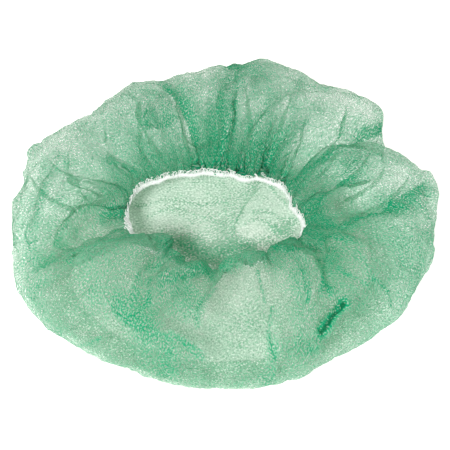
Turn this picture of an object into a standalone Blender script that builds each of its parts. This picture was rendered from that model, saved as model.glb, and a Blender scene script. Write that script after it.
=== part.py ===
"""Disposable bouffant cap, lying on its crown with its gathered mouth up.

One round piece of thin nonwoven is drawn up by an elastic that is overlocked to its edge, so the cloth
puffs into a hollow ring round the mouth. The flat crown of the cap is what it lies on.

Units are metres and +Z is up. The photograph's right is +X and its back is +Y. The origin is on the surface
that the cap lies on, under the middle of its bounding box.
"""

import math
from collections import namedtuple

import bmesh
import bpy
from mathutils import Vector

# Driving dimensions
CAP_WIDTH = 0.300
CAP_DEPTH = 0.300
PUFF_HEIGHT = 0.078
BELLY_HEIGHT = 0.030
UNDERTURN = 0.034
MOUTH_WIDTH = 0.122
MOUTH_DEPTH = 0.104
MOUTH_HEIGHT = 0.044
CLOTH_WALL = 0.0012
GATHER_DEPTH = 0.0016
BAND_WIDTH = 0.0052
BAND_THICKNESS = 0.0028
BAND_GAP = 0.0004

# The crest of the puff lies this share of the way from the mouth to the belly, and past it the cloth has
# turned down by this many degrees where it meets the elastic.
CREST_PLACE = 0.45
MOUTH_TURN = 82.0

# How finely the forms are cut
GATHERS = 36
SPOKES = GATHERS * 4
BAND_SIDES = 6

# Stations along a meridian of the cap, from the crown's edge to the mouth
CROWN_EDGE, BELLY, CREST, MOUTH = 0.0, 1.0, 2.0, 3.0
RINGS = (
    CROWN_EDGE, 0.35, 0.7, BELLY, 1.25, 1.5, 1.75, CREST,
    2.17, 2.33, 2.48, 2.62, 2.76, 2.89, MOUTH,
)
HEADING_STEP = 0.02

# The cap's outline, seen from above. Azimuths are in degrees from +X towards +Y, round the mouth's middle.
# reach is the belly's radius as a share of the oval that CAP_WIDTH and CAP_DEPTH give, crest is the
# height of the puff as a share of PUFF_HEIGHT, and mouth is the mouth's radius as a share of its own oval.
Section = namedtuple("Section", "azimuth reach crest mouth")
SECTIONS = (
    Section(0, 1.05, 0.96, 1.03),
    Section(13, 1.10, 0.99, 0.95),
    Section(25, 1.04, 1.00, 1.00),
    Section(31, 0.99, 1.04, 1.02),
    Section(37, 1.07, 1.10, 1.02),
    Section(47, 1.17, 1.10, 1.00),
    Section(59, 1.13, 1.10, 0.98),
    Section(69, 1.14, 1.12, 0.97),
    Section(78, 1.17, 1.18, 0.96),
    Section(90, 1.08, 1.10, 0.96),
    Section(108, 1.02, 1.06, 0.98),
    Section(116, 1.06, 1.08, 1.00),
    Section(124, 1.01, 1.04, 1.02),
    Section(135, 0.96, 1.00, 1.06),
    Section(145, 1.04, 1.00, 1.09),
    Section(154, 1.04, 0.96, 1.08),
    Section(162, 0.97, 0.93, 1.04),
    Section(172, 0.98, 0.91, 1.01),
    Section(184, 0.95, 0.92, 0.98),
    Section(200, 0.98, 0.95, 0.93),
    Section(215, 0.94, 0.98, 0.93),
    Section(231, 0.92, 1.00, 0.96),
    Section(245, 0.91, 0.98, 0.99),
    Section(258, 0.93, 0.96, 1.00),
    Section(275, 0.94, 0.95, 1.00),
    Section(288, 0.96, 0.97, 0.99),
    Section(301, 0.93, 0.98, 0.98),
    Section(314, 0.94, 0.98, 0.98),
    Section(330, 0.98, 0.98, 1.00),
    Section(345, 1.02, 0.97, 1.04),
)

# The main folds, valleys that run out from the mouth. rim, crest and belly are a fold's azimuths where it
# leaves the mouth, crosses the crest and comes down to the belly, width is its half width in degrees, depth
# is a share of PUFF_HEIGHT, and run is how far down the outside it goes, from 0 at the crest to 1 at the
# crown's edge.
Fold = namedtuple("Fold", "rim crest belly width depth run")
FOLDS = (
    Fold(rim=20, crest=8, belly=16, width=5, depth=0.17, run=0.40),
    Fold(rim=39, crest=34, belly=27, width=5, depth=0.28, run=0.60),
    Fold(rim=56, crest=52, belly=48, width=4, depth=0.10, run=0.30),
    Fold(rim=74, crest=64, belly=59, width=5, depth=0.16, run=0.35),
    Fold(rim=80, crest=81, belly=87, width=4, depth=0.17, run=0.45),
    Fold(rim=92, crest=93, belly=98, width=8, depth=0.12, run=0.15),
    Fold(rim=103, crest=103, belly=109, width=6, depth=0.30, run=0.25),
    Fold(rim=116, crest=118, belly=118, width=4, depth=0.12, run=0.25),
    Fold(rim=130, crest=129, belly=127, width=4, depth=0.13, run=0.30),
    Fold(rim=146, crest=142, belly=142, width=6, depth=0.20, run=0.30),
    Fold(rim=164, crest=166, belly=176, width=4, depth=0.12, run=0.35),
    Fold(rim=186, crest=193, belly=203, width=8, depth=0.32, run=0.60),
    Fold(rim=201, crest=208, belly=211, width=8, depth=0.34, run=0.52),
    Fold(rim=236, crest=243, belly=256, width=6, depth=0.24, run=0.50),
    Fold(rim=256, crest=254, belly=264, width=4, depth=0.10, run=0.20),
    Fold(rim=276, crest=268, belly=268, width=6, depth=0.26, run=0.40),
    Fold(rim=306, crest=295, belly=286, width=5, depth=0.12, run=0.50),
    Fold(rim=338, crest=322, belly=302, width=6, depth=0.28, run=0.40),
    Fold(rim=349, crest=338, belly=340, width=5, depth=0.20, run=0.40),
    Fold(rim=358, crest=354, belly=10, width=5, depth=0.22, run=0.45),
)

# A fold's walls meet in a crease that is sharper the lower FOLD_SHARPNESS is. It deepens to its full depth
# within FOLD_FADE stations, and from NEAR_MOUTH on it shrinks to this share of its depth at the elastic.
FOLD_SHARPNESS = 1.5
FOLD_FADE = 0.9
NEAR_MOUTH = 2.45
FOLD_SHARE_AT_MOUTH = 0.12

# The elastic's small gathers grow between these stations.
GATHERS_START = 2.15
GATHERS_FULL = 2.70

# Dents away from the folds. station is where one lies along the meridian, width and length are its half
# sizes in degrees and in stations, slant turns it with the height, and depth is a share of PUFF_HEIGHT.
Dent = namedtuple("Dent", "azimuth station width length slant depth")
DENTS = (
    Dent(azimuth=306, station=1.45, width=4, length=0.25, slant=30, depth=0.09),
    Dent(azimuth=236, station=1.40, width=9, length=0.35, slant=0, depth=0.07),
    Dent(azimuth=277, station=1.15, width=6, length=0.30, slant=0, depth=0.05),
    Dent(azimuth=150, station=1.60, width=7, length=0.30, slant=20, depth=0.06),
    Dent(azimuth=52, station=1.60, width=8, length=0.30, slant=0, depth=0.05),
)


def smoothstep(low, high, value):
    """0 below low, 1 above high, and a smooth rise between them."""
    share = min(max((value - low) / (high - low), 0.0), 1.0)
    return share * share * (3.0 - 2.0 * share)


def oval(width, depth, azimuth):
    """The radius of an oval of that width and depth, at an azimuth."""
    turn = math.radians(azimuth)
    return 0.5 / math.hypot(math.cos(turn) / width, math.sin(turn) / depth)


def section_at(azimuth):
    """The outline between two rows, where the cloth runs straight from one to the next."""
    azimuth %= 360.0
    rows = SECTIONS + (SECTIONS[0]._replace(azimuth=SECTIONS[0].azimuth + 360.0),)
    for first, second in zip(rows, rows[1:]):
        if azimuth <= second.azimuth:
            share = (azimuth - first.azimuth) / (second.azimuth - first.azimuth)
            return Section(*(a + (b - a) * share for a, b in zip(first, second)))
    return rows[-1]


def smooth_form(azimuth, station):
    """Radius and height of the cap before it is folded: three quarter ovals from crown's edge to mouth."""
    row = section_at(azimuth)
    belly_radius = oval(CAP_WIDTH, CAP_DEPTH, azimuth) * row.reach
    mouth_radius = oval(MOUTH_WIDTH, MOUTH_DEPTH, azimuth) * row.mouth
    crest_radius = mouth_radius + (belly_radius - mouth_radius) * CREST_PLACE
    crest_height = PUFF_HEIGHT * row.crest
    if station <= BELLY:
        turn = math.radians(90.0 * station)
        radius = belly_radius - UNDERTURN * (1.0 - math.sin(turn))
        height = BELLY_HEIGHT * (1.0 - math.cos(turn))
    elif station <= CREST:
        turn = math.radians(90.0 * (station - BELLY))
        radius = crest_radius + (belly_radius - crest_radius) * math.cos(turn)
        height = BELLY_HEIGHT + (crest_height - BELLY_HEIGHT) * math.sin(turn)
    else:
        last = math.radians(MOUTH_TURN)
        turn = last * (station - CREST)
        inwards = math.sin(turn) / math.sin(last)
        downwards = (1.0 - math.cos(turn)) / (1.0 - math.cos(last))
        radius = crest_radius + (mouth_radius - crest_radius) * inwards
        height = crest_height + (MOUTH_HEIGHT - crest_height) * downwards
    return radius, height


def turn_from(azimuth, centre):
    """How far an azimuth lies past another, the short way round, in degrees."""
    return (azimuth - centre + 180.0) % 360.0 - 180.0


def fold_azimuth(fold, station):
    """Where a fold runs at a station: a smooth curve through its azimuths at mouth, crest and belly."""
    outwards = min(max((MOUTH - station) / (MOUTH - BELLY), 0.0), 1.0)
    crest_share = 4.0 * outwards * (1.0 - outwards)
    belly_share = outwards * (2.0 * outwards - 1.0)
    to_crest = turn_from(fold.crest, fold.rim)
    to_belly = turn_from(fold.belly, fold.rim)
    return fold.rim + to_crest * crest_share + to_belly * belly_share


def fold_depth(azimuth, station):
    """How far the folds press the cloth in at a place, in metres."""
    total = 0.0
    for fold in FOLDS:
        away = turn_from(azimuth, fold_azimuth(fold, station))
        across = math.exp(-abs(away / fold.width) ** FOLD_SHARPNESS)
        lowest = CREST - fold.run * (CREST - CROWN_EDGE)
        along = smoothstep(lowest, lowest + FOLD_FADE, station)
        near_mouth = 1.0 - (1.0 - FOLD_SHARE_AT_MOUTH) * smoothstep(NEAR_MOUTH, MOUTH, station)
        total += fold.depth * PUFF_HEIGHT * across * along * near_mouth
    return total


def dent_depth(azimuth, station):
    """How far the dents press the cloth in at a place, in metres."""
    total = 0.0
    for dent in DENTS:
        along = (station - dent.station) / dent.length
        across = (turn_from(azimuth, dent.azimuth) - dent.slant * (station - dent.station)) / dent.width
        total += dent.depth * PUFF_HEIGHT * math.exp(-(along ** 2) - across ** 2)
    return total


def gather_depth(azimuth, station):
    """The small ruffles that the elastic draws the cloth into, which fade out towards the crest."""
    strength = smoothstep(GATHERS_START, GATHERS_FULL, station)
    return GATHER_DEPTH * math.cos(math.radians(GATHERS * azimuth)) * strength


def smooth_heading(azimuth, station):
    """The way the smooth form runs towards the mouth, as a unit vector of radius and height."""
    before = smooth_form(azimuth, max(station - HEADING_STEP, CROWN_EDGE))
    after = smooth_form(azimuth, min(station + HEADING_STEP, MOUTH))
    return Vector((after[0] - before[0], after[1] - before[1])).normalized()


def cloth_point(azimuth, station, depth=0.0):
    """A point of the cloth, that deep below its outer side, with folds, dents and gathers pressed in."""
    radius, height = smooth_form(azimuth, station)
    heading = smooth_heading(azimuth, station)
    pressed = depth + gather_depth(azimuth, station)
    pressed += fold_depth(azimuth, station) + dent_depth(azimuth, station)
    radius -= heading.y * pressed
    height += heading.x * pressed
    turn = math.radians(azimuth)
    return Vector((radius * math.cos(turn), radius * math.sin(turn), height))


def mouth_direction(azimuth):
    """The way the cloth is heading where it ends at the elastic, as a unit vector."""
    return (cloth_point(azimuth, MOUTH) - cloth_point(azimuth, MOUTH - HEADING_STEP)).normalized()


def collection_named(name):
    made = bpy.data.collections.new(name)
    bpy.context.scene.collection.children.link(made)
    return made


def material_named(name, colour, roughness):
    """A plain dielectric finish."""
    material = bpy.data.materials.new(name)
    material.use_nodes = True
    surface = material.node_tree.nodes["Principled BSDF"]
    surface.inputs["Base Color"].default_value = (*colour, 1.0)
    surface.inputs["Roughness"].default_value = roughness
    surface.inputs["Metallic"].default_value = 0.0
    return material


def cap_azimuths():
    return [360.0 * index / SPOKES for index in range(SPOKES)]


def add_cap_body(collection, middle):
    """The gathered disc of nonwoven: rings of cloth from the flat crown up and in to the mouth."""
    form = bmesh.new()
    rings = [
        [form.verts.new(cloth_point(azimuth, station) - middle) for azimuth in cap_azimuths()]
        for station in RINGS
    ]
    form.faces.new(reversed(rings[0]))
    for lower, upper in zip(rings, rings[1:]):
        for index in range(SPOKES):
            beside = (index + 1) % SPOKES
            form.faces.new((lower[index], lower[beside], upper[beside], upper[index]))
    mesh = bpy.data.meshes.new("cap_body")
    form.to_mesh(mesh)
    form.free()
    mesh.shade_smooth()
    body = bpy.data.objects.new("cap_body", mesh)
    collection.objects.link(body)
    wall = body.modifiers.new("wall", "SOLIDIFY")
    wall.thickness = CLOTH_WALL
    wall.offset = -1.0
    body.data.materials.append(material_named("nonwoven_green", (0.30, 0.58, 0.41), 0.85))
    return body


def add_band_section(collection):
    """The elastic's flattened round section, drawn clockwise, so that its sweep faces out."""
    curve = bpy.data.curves.new("band_section", "CURVE")
    spline = curve.splines.new("POLY")
    spline.points.add(BAND_SIDES - 1)
    spline.use_cyclic_u = True
    for index, point in enumerate(spline.points):
        turn = -2.0 * math.pi * (index + 0.5) / BAND_SIDES
        point.co = (
            BAND_WIDTH / 2 * math.cos(turn),
            BAND_THICKNESS / 2 * math.sin(turn),
            0.0,
            1.0,
        )
    section = bpy.data.objects.new("band_section", curve)
    section.hide_render = True
    section.display_type = "WIRE"
    collection.objects.link(section)
    return section


def add_elastic_band(collection, section, middle):
    """The elastic with its overlock thread, a closed band whose middle line follows the cloth's edge."""
    curve = bpy.data.curves.new("elastic_band", "CURVE")
    curve.dimensions = "3D"
    curve.twist_mode = "Z_UP"
    curve.bevel_mode = "OBJECT"
    curve.bevel_object = section
    spline = curve.splines.new("POLY")
    spline.points.add(SPOKES - 1)
    spline.use_cyclic_u = True
    for azimuth, point in zip(cap_azimuths(), spline.points):
        heading = mouth_direction(azimuth)
        edge = cloth_point(azimuth, MOUTH, depth=CLOTH_WALL / 2)
        place = edge + heading * (BAND_WIDTH / 2 + BAND_GAP) - middle
        point.co = (*place, 1.0)
        point.tilt = math.asin(-heading.z)
    band = bpy.data.objects.new("elastic_band", curve)
    collection.objects.link(band)
    band.data.materials.append(material_named("elastic_white", (0.85, 0.88, 0.85), 0.8))
    return band


def box_middle():
    """The middle of the cloth's box on the surface below it, measured from the mouth's middle."""
    points = [cloth_point(azimuth, station) for azimuth in cap_azimuths() for station in RINGS]
    lowest = [min(point[axis] for point in points) for axis in range(2)]
    highest = [max(point[axis] for point in points) for axis in range(2)]
    return Vector(((lowest[0] + highest[0]) / 2, (lowest[1] + highest[1]) / 2, 0.0))


def main():
    for obj in list(bpy.data.objects):
        bpy.data.objects.remove(obj)
    cap = collection_named("bouffant_cap")
    guides = collection_named("guides")
    middle = box_middle()
    add_cap_body(cap, middle)
    add_elastic_band(cap, add_band_section(guides), middle)


main()
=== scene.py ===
# %% [markdown]
# # A disposable bouffant cap
#
# A bouffant cap is one round piece of thin green nonwoven. An elastic is overlocked to its edge while it is
# stretched, and when it is let go it draws almost two metres of edge together into a mouth no wider than a
# hand is long. The cloth between the crown and the mouth has nowhere to go, so it puffs up into a soft ring
# of lobes, folds and small gathers.
#
# This lesson dresses the plain model of such a cap, which lies on its crown with its mouth up. The plain
# model is loaded first. It is never moved, and everything below is measured from it.

# %% Load the plain model
import math

import bmesh
import bpy
import numpy as np
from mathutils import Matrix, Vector
from mathutils.bvhtree import BVHTree


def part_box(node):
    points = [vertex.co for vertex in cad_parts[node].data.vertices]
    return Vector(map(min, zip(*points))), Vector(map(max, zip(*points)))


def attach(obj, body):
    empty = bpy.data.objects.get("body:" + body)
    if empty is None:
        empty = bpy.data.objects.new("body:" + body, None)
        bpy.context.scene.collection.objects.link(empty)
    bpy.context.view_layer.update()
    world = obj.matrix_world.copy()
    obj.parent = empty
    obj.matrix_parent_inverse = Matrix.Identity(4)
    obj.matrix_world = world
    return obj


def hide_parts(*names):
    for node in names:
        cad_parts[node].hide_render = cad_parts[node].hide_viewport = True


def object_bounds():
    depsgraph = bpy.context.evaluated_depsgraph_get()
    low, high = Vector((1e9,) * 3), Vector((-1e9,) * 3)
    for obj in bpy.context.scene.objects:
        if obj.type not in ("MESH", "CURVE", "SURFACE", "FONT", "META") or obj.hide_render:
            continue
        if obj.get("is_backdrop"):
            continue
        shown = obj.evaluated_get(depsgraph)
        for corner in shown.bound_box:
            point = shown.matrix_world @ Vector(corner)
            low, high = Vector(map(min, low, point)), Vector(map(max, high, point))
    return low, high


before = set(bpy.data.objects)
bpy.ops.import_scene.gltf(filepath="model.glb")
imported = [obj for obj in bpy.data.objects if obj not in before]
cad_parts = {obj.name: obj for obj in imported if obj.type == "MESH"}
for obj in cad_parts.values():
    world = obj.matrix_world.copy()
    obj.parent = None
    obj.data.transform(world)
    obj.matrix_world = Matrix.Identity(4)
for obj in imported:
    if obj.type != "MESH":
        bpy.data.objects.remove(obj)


def corners_as_lists(corners):
    return [[float(value) for value in corner] for corner in corners]


def add_object(name, data):
    """A new object in the scene."""
    added = bpy.data.objects.new(name, data)
    bpy.context.scene.collection.objects.link(added)
    return added


plain_box = corners_as_lists(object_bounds())
band_low, band_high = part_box("elastic_band")
mouth_middle = Vector(((band_low.x + band_high.x) / 2, (band_low.y + band_high.y) / 2, 0.0))
print("The plain cap is", [round(high - low, 3) for low, high in zip(*plain_box)], "m")
print("The mouth's middle is at", [round(value, 4) for value in mouth_middle.xy])

# %% [markdown]
# ## The camera
#
# The photograph looks down on the cap from the front, at about 42 degrees. How wide the lens is follows
# from how many picture pixels one metre takes at the cap, and the shift sets where the cap's middle falls.

# %% Place the camera
FRAME_PIXELS = 450
PIXELS_PER_METRE = 1413.0
CAMERA_DISTANCE = 1.2
CAMERA_ELEVATION = math.radians(42.0)
AIM_PIXEL = (224.0, 228.0)
AIM_ABOVE_FLOOR = 0.035
AIM_FROM_MOUTH = Vector((0.0057, 0.0002, AIM_ABOVE_FLOOR))
SENSOR = 36.0

camera_data = bpy.data.cameras.new("photo_camera")
camera = add_object("photo_camera", camera_data)
bpy.context.scene.camera = camera
towards_camera = Vector((0.0, -math.cos(CAMERA_ELEVATION), math.sin(CAMERA_ELEVATION)))
camera.location = mouth_middle + AIM_FROM_MOUTH + towards_camera * CAMERA_DISTANCE
camera.rotation_euler = (-towards_camera).to_track_quat("-Z", "Y").to_euler()
camera_data.sensor_width = SENSOR
camera_data.lens = PIXELS_PER_METRE * CAMERA_DISTANCE * SENSOR / FRAME_PIXELS
camera_data.shift_x = (FRAME_PIXELS / 2 - AIM_PIXEL[0]) / FRAME_PIXELS
camera_data.shift_y = (AIM_PIXEL[1] - FRAME_PIXELS / 2) / FRAME_PIXELS
print("The lens is", round(camera_data.lens, 1), "mm")

# %% [markdown]
# ## The light and the floor
#
# The cap was photographed on white, with no hard shadow. A pale floor, an almost white world and two soft
# lamps give that. The key lamp stands in front, above and a little to the left, which is what makes the front
# of the lobes paler than their far sides. The floor glows a little past the cap, so that it stays white in
# the picture, but not under it, where the glow would bleach the thin cloth from below.

# %% Light the studio
KEY_PLACE = Vector((-0.28, -1.48, 1.24))
KEY_WIDTH = 0.25
KEY_WATTS = 40.0
FILL_PLACE = Vector((1.1, 0.5, 0.9))
FILL_WIDTH = 1.2
FILL_WATTS = 2.0
WORLD_BRIGHTNESS = 0.45
WORLD_COLOUR = (1.0, 0.95, 0.89)


def add_soft_lamp(name, place, width, watts):
    """A square soft box that faces the cap."""
    lamp_data = bpy.data.lights.new(name, "AREA")
    lamp_data.size = width
    lamp_data.energy = watts
    lamp = add_object(name, lamp_data)
    lamp.location = place
    lamp.rotation_euler = (-place).to_track_quat("-Z", "Y").to_euler()


add_soft_lamp("key_lamp", KEY_PLACE, KEY_WIDTH, KEY_WATTS)
add_soft_lamp("fill_lamp", FILL_PLACE, FILL_WIDTH, FILL_WATTS)
world = bpy.data.worlds.new("studio")
bpy.context.scene.world = world
world.use_nodes = True
world.node_tree.nodes["Background"].inputs["Color"].default_value = (*WORLD_COLOUR, 1.0)
world.node_tree.nodes["Background"].inputs["Strength"].default_value = WORLD_BRIGHTNESS
bpy.context.scene.view_settings.view_transform = "Standard"
print("Two soft lamps and a white world")

# %% Small helpers for shader trees
def feed(tree, value, socket):
    """Joins a socket to the one that is given, or sets its own value."""
    if isinstance(value, bpy.types.NodeSocket):
        tree.links.new(value, socket)
    else:
        socket.default_value = value


def put(tree, kind, inputs=None, **settings):
    """A node of that kind with its settings. inputs gives named or numbered inputs a socket or a value."""
    node = tree.nodes.new(kind)
    for name, value in settings.items():
        setattr(node, name, value)
    for name, value in (inputs or {}).items():
        feed(tree, value, node.inputs[name])
    return node


def maths(tree, operation, *values, clamp=False):
    """The result of a Math node, whose inputs are sockets or numbers."""
    inputs = dict(enumerate(values))
    return put(tree, "ShaderNodeMath", inputs, operation=operation, use_clamp=clamp).outputs[0]


def vector_maths(tree, operation, *values, output="Vector"):
    """The result of a Vector Math node."""
    return put(tree, "ShaderNodeVectorMath", dict(enumerate(values)), operation=operation).outputs[output]


def ramp(tree, value, low, high, start=0.0, end=1.0, kind="SMOOTHSTEP"):
    """A value that goes from start to end while another goes from low to high."""
    inputs = {"Value": value, "From Min": low, "From Max": high, "To Min": start, "To Max": end}
    return put(tree, "ShaderNodeMapRange", inputs, interpolation_type=kind).outputs["Result"]


def noise(tree, place, scale, **inputs):
    """A noise texture node."""
    return put(tree, "ShaderNodeTexNoise", {"Vector": place, "Scale": scale, **inputs})


def enabled(sockets):
    """The sockets of a node that its settings leave in use."""
    return [socket for socket in sockets if socket.enabled]


def blend_colours(tree, factor, first, second):
    """The result of a colour Mix node. A colour is a socket, or its red, green and blue."""
    node = put(tree, "ShaderNodeMix", data_type="RGBA")
    for socket, value in zip(enabled(node.inputs), (factor, first, second)):
        feed(tree, (*value, 1.0) if isinstance(value, tuple) else value, socket)
    return enabled(node.outputs)[0]


def new_finish(name, **inputs):
    """A new material with its node tree and its shader, whose inputs are given with _ for a space."""
    material = bpy.data.materials.new(name)
    material.use_nodes = True
    surface = material.node_tree.nodes["Principled BSDF"]
    for label, value in inputs.items():
        surface.inputs[label.replace("_", " ")].default_value = value
    return material, material.node_tree, surface


def colour_and_relief(tree, surface, colour, height, distance, strength=1.0):
    """Gives a shader its colour and a bumped normal, and returns the normal."""
    inputs = {"Height": height, "Strength": strength, "Distance": distance}
    normal = put(tree, "ShaderNodeBump", inputs).outputs["Normal"]
    feed(tree, colour, surface.inputs["Base Color"])
    feed(tree, normal, surface.inputs["Normal"])
    return normal


print("Helpers for shader trees are ready")

# %% Lay the floor
FLOOR_SIZE = 12.0
FLOOR_COLOUR = (0.95, 0.92, 0.89, 1.0)
GLOW_COLOUR = (1.0, 1.0, 1.0, 1.0)
FLOOR_GLOW = 0.58
DARK_RADIUS = 0.112
GLOW_RADIUS = 0.142


def floor_finish():
    """A plain pale floor that glows a little past the cap, as a light table does, but not under it."""
    material, tree, surface = new_finish(
        "pale_floor", Roughness=0.9, Base_Color=FLOOR_COLOUR, Emission_Color=GLOW_COLOUR,
    )
    place = put(tree, "ShaderNodeTexCoord").outputs["Object"]
    away = vector_maths(tree, "DISTANCE", place, mouth_middle, output="Value")
    glow = ramp(tree, away, DARK_RADIUS, GLOW_RADIUS, end=FLOOR_GLOW, kind="LINEAR")
    feed(tree, glow, surface.inputs["Emission Strength"])
    return material


floor_mesh = bpy.data.meshes.new("floor")
half_floor = FLOOR_SIZE / 2
floor_corners = [(x * half_floor, y * half_floor, 0.0) for x, y in ((-1, -1), (1, -1), (1, 1), (-1, 1))]
floor_mesh.from_pydata(floor_corners, [], [(0, 1, 2, 3)])
floor_mesh.materials.append(floor_finish())
floor = add_object("floor", floor_mesh)
floor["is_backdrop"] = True
print("The floor is", FLOOR_SIZE, "m wide")

# %% [markdown]
# ## The cloth's form
#
# The plain model has the cap's true outline and its main valleys, but its wall is 1.2 mm thick and its
# facets are 7 mm wide. Nonwoven is ten times thinner and shows every crease. So a fine sheet is laid over
# the plain one: rays are cast outwards from the middle of the puffed ring, like spokes of a wheel in every
# slice, and where a ray leaves the plain wall the fine cloth gets a point.
#
# The result is a grid: one index goes round the cap and the other goes along a meridian, from the crown's
# edge on the floor, out and up round the belly, over the crest and down to the mouth.

# %% Cast the fine cloth's form from the plain wall
CAST_AROUND = 240
CAST_ANGLES = 150
RING_MIDDLE_HEIGHT = 0.032
FIRST_ANGLE = math.radians(-88.0)
LAST_ANGLE = math.radians(215.0)
FAR_OUTSIDE = 0.4
FURTHEST_WALL = 0.075
PAST_FACE = 0.00001
WALL_STEP = 0.004
WALL_THICKNESS = 0.0012
EDGE_HALVINGS = 12
FORM_ALONG = 72


def tree_of_node(name):
    """A search tree over the loose triangles of one node of the plain model."""
    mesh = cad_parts[name].data
    points = [vertex.co.copy() for vertex in mesh.vertices]
    return BVHTree.FromPolygons(points, [tuple(face.vertices) for face in mesh.polygons])


def leave_wall(tree, start, heading):
    """Where a ray from inside the puff comes out on the wall's outer side, or None if it meets no wall."""
    first = tree.ray_cast(start, heading, FURTHEST_WALL)
    if first[0] is None:
        return None
    second = tree.ray_cast(first[0] + heading * PAST_FACE, heading, WALL_STEP)
    return first[0] + heading * WALL_THICKNESS if second[0] is None else second[0]


def cast_meridian(tree, azimuth):
    """Radii and heights along one slice of the ring, from the floor to the mouth's edge."""
    outwards = Vector((math.cos(azimuth), math.sin(azimuth), 0.0))
    edge_radius = mouth_radius_at(azimuth)
    middle = mouth_middle + Vector((0, 0, RING_MIDDLE_HEIGHT))
    belly_radius = FAR_OUTSIDE - tree.ray_cast(middle + outwards * FAR_OUTSIDE, -outwards)[3]
    start = middle + outwards * (edge_radius + belly_radius) / 2

    def hit_at(angle):
        heading = outwards * math.cos(angle) + Vector((0, 0, math.sin(angle)))
        return leave_wall(tree, start, heading)

    places = []
    step = (LAST_ANGLE - FIRST_ANGLE) / CAST_ANGLES
    angle = FIRST_ANGLE
    while angle < LAST_ANGLE:
        place = hit_at(angle)
        if place is None and angle > math.pi / 2:
            break
        if place is not None:
            places.append(place)
        angle += step
    good, bad = angle - step, angle
    for _ in range(EDGE_HALVINGS):
        between = (good + bad) / 2
        if hit_at(between) is None:
            bad = between
        else:
            good = between
    places.append(hit_at(good))
    return [((place - mouth_middle).dot(outwards), place.z) for place in places]


def mouth_radius_at(azimuth):
    """The elastic's radius in the plain model, from its box."""
    half_width = (band_high.x - band_low.x) / 2
    half_depth = (band_high.y - band_low.y) / 2
    return 1.0 / math.hypot(math.cos(azimuth) / half_width, math.sin(azimuth) / half_depth)


def step_lengths(line):
    """The distances between one point of a line and the next."""
    return np.linalg.norm(np.diff(line, axis=0), axis=1)


def running_sum(lengths):
    """How far along each point is, from nothing at the first one."""
    return np.concatenate([[0.0], np.cumsum(lengths)])


def spaced_evenly(line, count):
    """The line again, as that many points at even distances along it."""
    line = np.asarray(line)
    along = running_sum(step_lengths(line))
    wanted = np.linspace(0.0, along[-1], count)
    return np.stack([np.interp(wanted, along, line[:, axis]) for axis in range(2)], axis=1)


def cast_form():
    """The form as an array [around, along, (radius, height)]."""
    tree = tree_of_node("cap_body")
    azimuths = [2 * math.pi * index / CAST_AROUND for index in range(CAST_AROUND)]
    return np.array([spaced_evenly(cast_meridian(tree, azimuth), FORM_ALONG) for azimuth in azimuths])


cast = cast_form()
print("Cast", cast.shape[0], "slices; radii", cast[..., 0].min().round(4), "to", cast[..., 0].max().round(4))

# %% Smooth the form into a grid
FACET_BLUR = (1.0, 1.3)
RIM_BLUR = (2.4, 1.3)
RIM_FROM, RIM_FULL = 0.78, 0.94


def soft_round(values, sigma):
    """A blur along the first axis, which closes on itself."""
    values = np.asarray(values, float)
    count = len(values)
    frequencies = np.fft.rfftfreq(count)
    fade = np.exp(-2.0 * (math.pi * frequencies * sigma) ** 2)
    shape = (-1,) + (1,) * (values.ndim - 1)
    return np.fft.irfft(np.fft.rfft(values, axis=0) * fade.reshape(shape), n=count, axis=0)


def soft_along(values, sigma):
    """A blur along the second axis, which keeps both ends where they are."""
    reach = int(math.ceil(3 * sigma))
    weights = np.exp(-0.5 * (np.arange(-reach, reach + 1) / sigma) ** 2)
    weights /= weights.sum()
    first = 2 * values[:, :1] - values[:, reach:0:-1]
    last = 2 * values[:, -1:] - values[:, -2:-reach - 2:-1]
    padded = np.concatenate([first, values, last], axis=1)
    return sum(weight * padded[:, k:k + values.shape[1]] for k, weight in enumerate(weights))


def soft_grid(values, blur):
    """A blur round the cap and along it, by that many grid steps each way."""
    return soft_along(soft_round(values, blur[0]), blur[1])


def smooth_cast():
    """The cast form without the plain model's facets, and near the elastic without its even gathers."""
    along = np.linspace(0, 1, cast.shape[1])
    near_rim = np.clip((along - RIM_FROM) / (RIM_FULL - RIM_FROM), 0.0, 1.0)[None, :, None]
    return soft_grid(cast, FACET_BLUR) * (1 - near_rim) + soft_grid(cast, RIM_BLUR) * near_rim


def place_form(form):
    """The form's radii and heights as points, in [around, along, xyz]."""
    turns = np.arange(len(form))[:, None] * 2.0 * math.pi / len(form)
    x = mouth_middle.x + form[..., 0] * np.cos(turns)
    y = mouth_middle.y + form[..., 0] * np.sin(turns)
    return np.stack([x, y, form[..., 1]], axis=-1)


def finer(points, count, axis, closed):
    """Points between the points of a grid, on smooth cubics."""
    have = points.shape[axis]
    reach = have if closed else have - 1
    places = np.arange(count) * reach / count if closed else np.linspace(0.0, have - 1, count)
    low = np.minimum(np.floor(places).astype(int), have - 1 if closed else have - 2)
    share = (places - low).reshape((-1,) + (1,) * (points.ndim - 1 - axis))
    taken = []
    for shift in (-1, 0, 1, 2):
        index = low + shift
        index = index % have if closed else np.clip(index, 0, have - 1)
        taken.append(np.take(points, index, axis=axis))
    before, start, end, after = taken
    bend = start + 0.5 * share * (end - before)
    bend += 0.5 * share ** 2 * (2 * before - 5 * start + 4 * end - after)
    bend += 0.5 * share ** 3 * (3 * start - before - 3 * end + after)
    return bend


def unit(vectors):
    return vectors / np.maximum(np.linalg.norm(vectors, axis=-1, keepdims=True), 1e-12)


def grid_normals(points):
    """Unit normals of a ring grid, pointing out of the cloth."""
    round_step = np.roll(points, -1, axis=0) - np.roll(points, 1, axis=0)
    return unit(np.cross(round_step, np.gradient(points, axis=1)))


def soft_normals(points, blur=(6.0, 3.0)):
    """The way out of the cloth, read off a blurred copy of the grid."""
    return grid_normals(soft_grid(points, blur))


form_points = place_form(smooth_cast())
print("The form is a grid of", form_points.shape[:2])

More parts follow.
